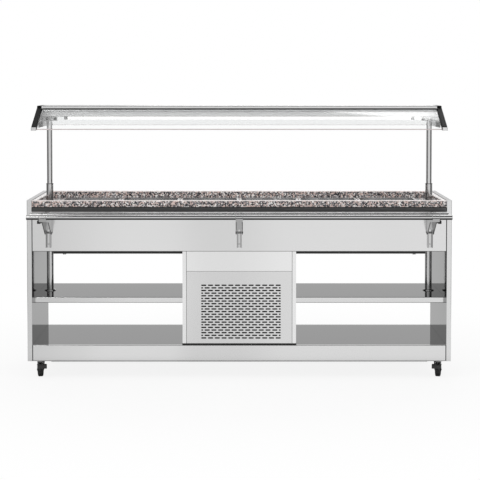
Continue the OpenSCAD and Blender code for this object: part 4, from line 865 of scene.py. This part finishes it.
across, up = np.meshgrid(np.linspace(*MAT_X, MAT_ROWS), np.linspace(*MAT_Z, MAT_COLUMNS), indexing="ij")
swell = CELL_DEPTH * np.sin(across * 2 * np.pi / CELL) * np.sin(up * 2 * np.pi / CELL)
front_face = np.stack([across, MAT_FRONT + swell, up], 2).reshape(-1, 3)
count = len(front_face)
between = np.arange(MAT_COLUMNS, count - MAT_COLUMNS, MAT_COLUMNS)
rim = np.concatenate([np.arange(MAT_COLUMNS), between + MAT_COLUMNS - 1,
                      np.arange(count - MAT_COLUMNS, count)[::-1], between[::-1]])
back_rim = front_face[rim] * (1, 0, 1) + (0, MAT_BACK, 0)
mat_faces = [face for face in quads(MAT_ROWS, MAT_COLUMNS) if face[3] > face[0]]
ends = np.roll(np.arange(len(rim)), -1)
mat_faces += [[int(rim[a]), int(rim[b]), count + b, count + a] for a, b in enumerate(ends)]
mat_faces.append(list(range(count, count + len(rim))))
# Painted shade: the foam is nearly black so that the slots show dark.
foam = coated("filter_foam_painted_shade", 0.006, 0.9, 900, 0.0003)[0]
piece("filter_mat", "cart", foam, [(np.concatenate([front_face, back_rim]), mat_faces)])

# %% [markdown]
# ## Thermostat
#
# The thermostat on the back has a smoked window, three rubber keys under it and a lamp the size of
# a pinhead that shows that the cooling runs.

# %% Window, keys and pilot lamp
THERMOSTAT_X, WINDOW_Z, WINDOW_BACK = 0.040, 0.6312, 0.3321
KEY_Y, KEY_Z = 0.3329, 0.6166


def rounded_plate(centre, half_width, half_height, corner, back, front):
    """A plate in XZ with round corners: outline points at the corner radius, from back to front."""
    angle = np.linspace(0, 2 * np.pi, 32, endpoint=False)
    round_about = np.stack([np.cos(angle), np.sin(angle)], 1)
    outline = np.sign(round_about) * (half_width - corner, half_height - corner) + corner * round_about
    outline = outline + np.array(centre)
    rings = [np.insert(outline, 1, depth, axis=1) for depth in (back, front)]
    return skin(np.stack(rings))


smoked = coated("smoked_window", (0.02, 0.012, 0.012), 0.1, 200, 0.00001)[0]
piece("display_window", "cart", smoked, [
    rounded_plate((THERMOSTAT_X, WINDOW_Z), 0.0277, 0.0087, 0.0015, WINDOW_BACK, WINDOW_BACK + 0.0006)])
keys = coated("key_rubber", 0.18, 0.55)[0]
piece("thermostat_keys", "cart", keys, [
    turned(dome(0.0026, 0.0014), (THERMOSTAT_X + x, KEY_Y, KEY_Z), 1, 20)
    for x in (-0.02, 0, 0.02)])
pilot, tree, shader, place = coated("pilot_green", (0.03, 0.42, 0.08), 0.3)
shader.inputs["Emission Color"].default_value = (0.1, 0.9, 0.2, 1)
shader.inputs["Emission Strength"].default_value = 0.5
piece("pilot_lamp", "cart", pilot, [
    turned(dome(0.0012, 0.001), (THERMOSTAT_X + 0.033, KEY_Y, KEY_Z), 1, 16)])

# %% [markdown]
# ## Pipes of the cooling
#
# Two copper pipes leave the compressor. The hot one bends forward over the fan and enters the top
# of the condenser, and the cold one comes down from the well's casing. Each is a circle carried
# along a line of straight runs whose corners are rounded by a curve of three points.

# %% Copper pipes
def rounded_line(points, corner, count=8):
    """Straight runs joined at their corners by quadratic curves that start corner metres away."""
    points = np.array(points, float)
    line = [points[:1]]
    share = np.linspace(0, 1, count)[:, None]
    for before, at, after in zip(points, points[1:], points[2:]):
        start = at + corner * (before - at) / np.linalg.norm(before - at)
        end = at + corner * (after - at) / np.linalg.norm(after - at)
        line.append((1 - share) ** 2 * start + 2 * share * (1 - share) * at + share ** 2 * end)
    return np.concatenate(line + [points[-1:]])


def pipe(points, radius, corner, around=12):
    """A circle carried along a rounded line, its plane square to the line at every point."""
    line = rounded_line(points, corner)
    ahead = np.gradient(line, axis=0)
    ahead /= np.linalg.norm(ahead, axis=1, keepdims=True)
    across = np.cross(ahead, (1.0, 0.0, 0.0))
    across /= np.linalg.norm(across, axis=1, keepdims=True)
    above = np.cross(across, ahead)
    angle = (np.arange(around) * 2 * np.pi / around)[None, :, None]
    return skin(line[:, None] + radius * (np.cos(angle) * across[:, None] + np.sin(angle) * above[:, None]))


copper, tree, shader, place = new_finish("drawn_copper")
tarnish = noise(tree, place, (40, 40, 40), 3, 0.6)
connect(tree, shader, Base_Color=blend_tones(tree, tarnish, (0.62, 0.27, 0.14), (0.42, 0.17, 0.09)),
        Roughness=spread(tree, tarnish, 0.22, 0.4, 0.3, 0.7))
shader.inputs["Metallic"].default_value = 1
bump(tree, shader, tarnish, 0.0001, 0.2)
piece("copper_pipes", "cart", copper, [
    pipe([(-0.19, 0.09, 0.372), (-0.19, 0.09, 0.548), (-0.19, -0.248, 0.548), (-0.19, -0.248, 0.5175)],
         0.0035, 0.024),
    pipe([(-0.19, 0.114, 0.361), (-0.19, 0.114, 0.59), (-0.19, 0.19, 0.63), (-0.19, 0.19, 0.6612)],
         0.0045, 0.024)])

# %% View transform
bpy.context.scene.view_settings.view_transform = "Standard"
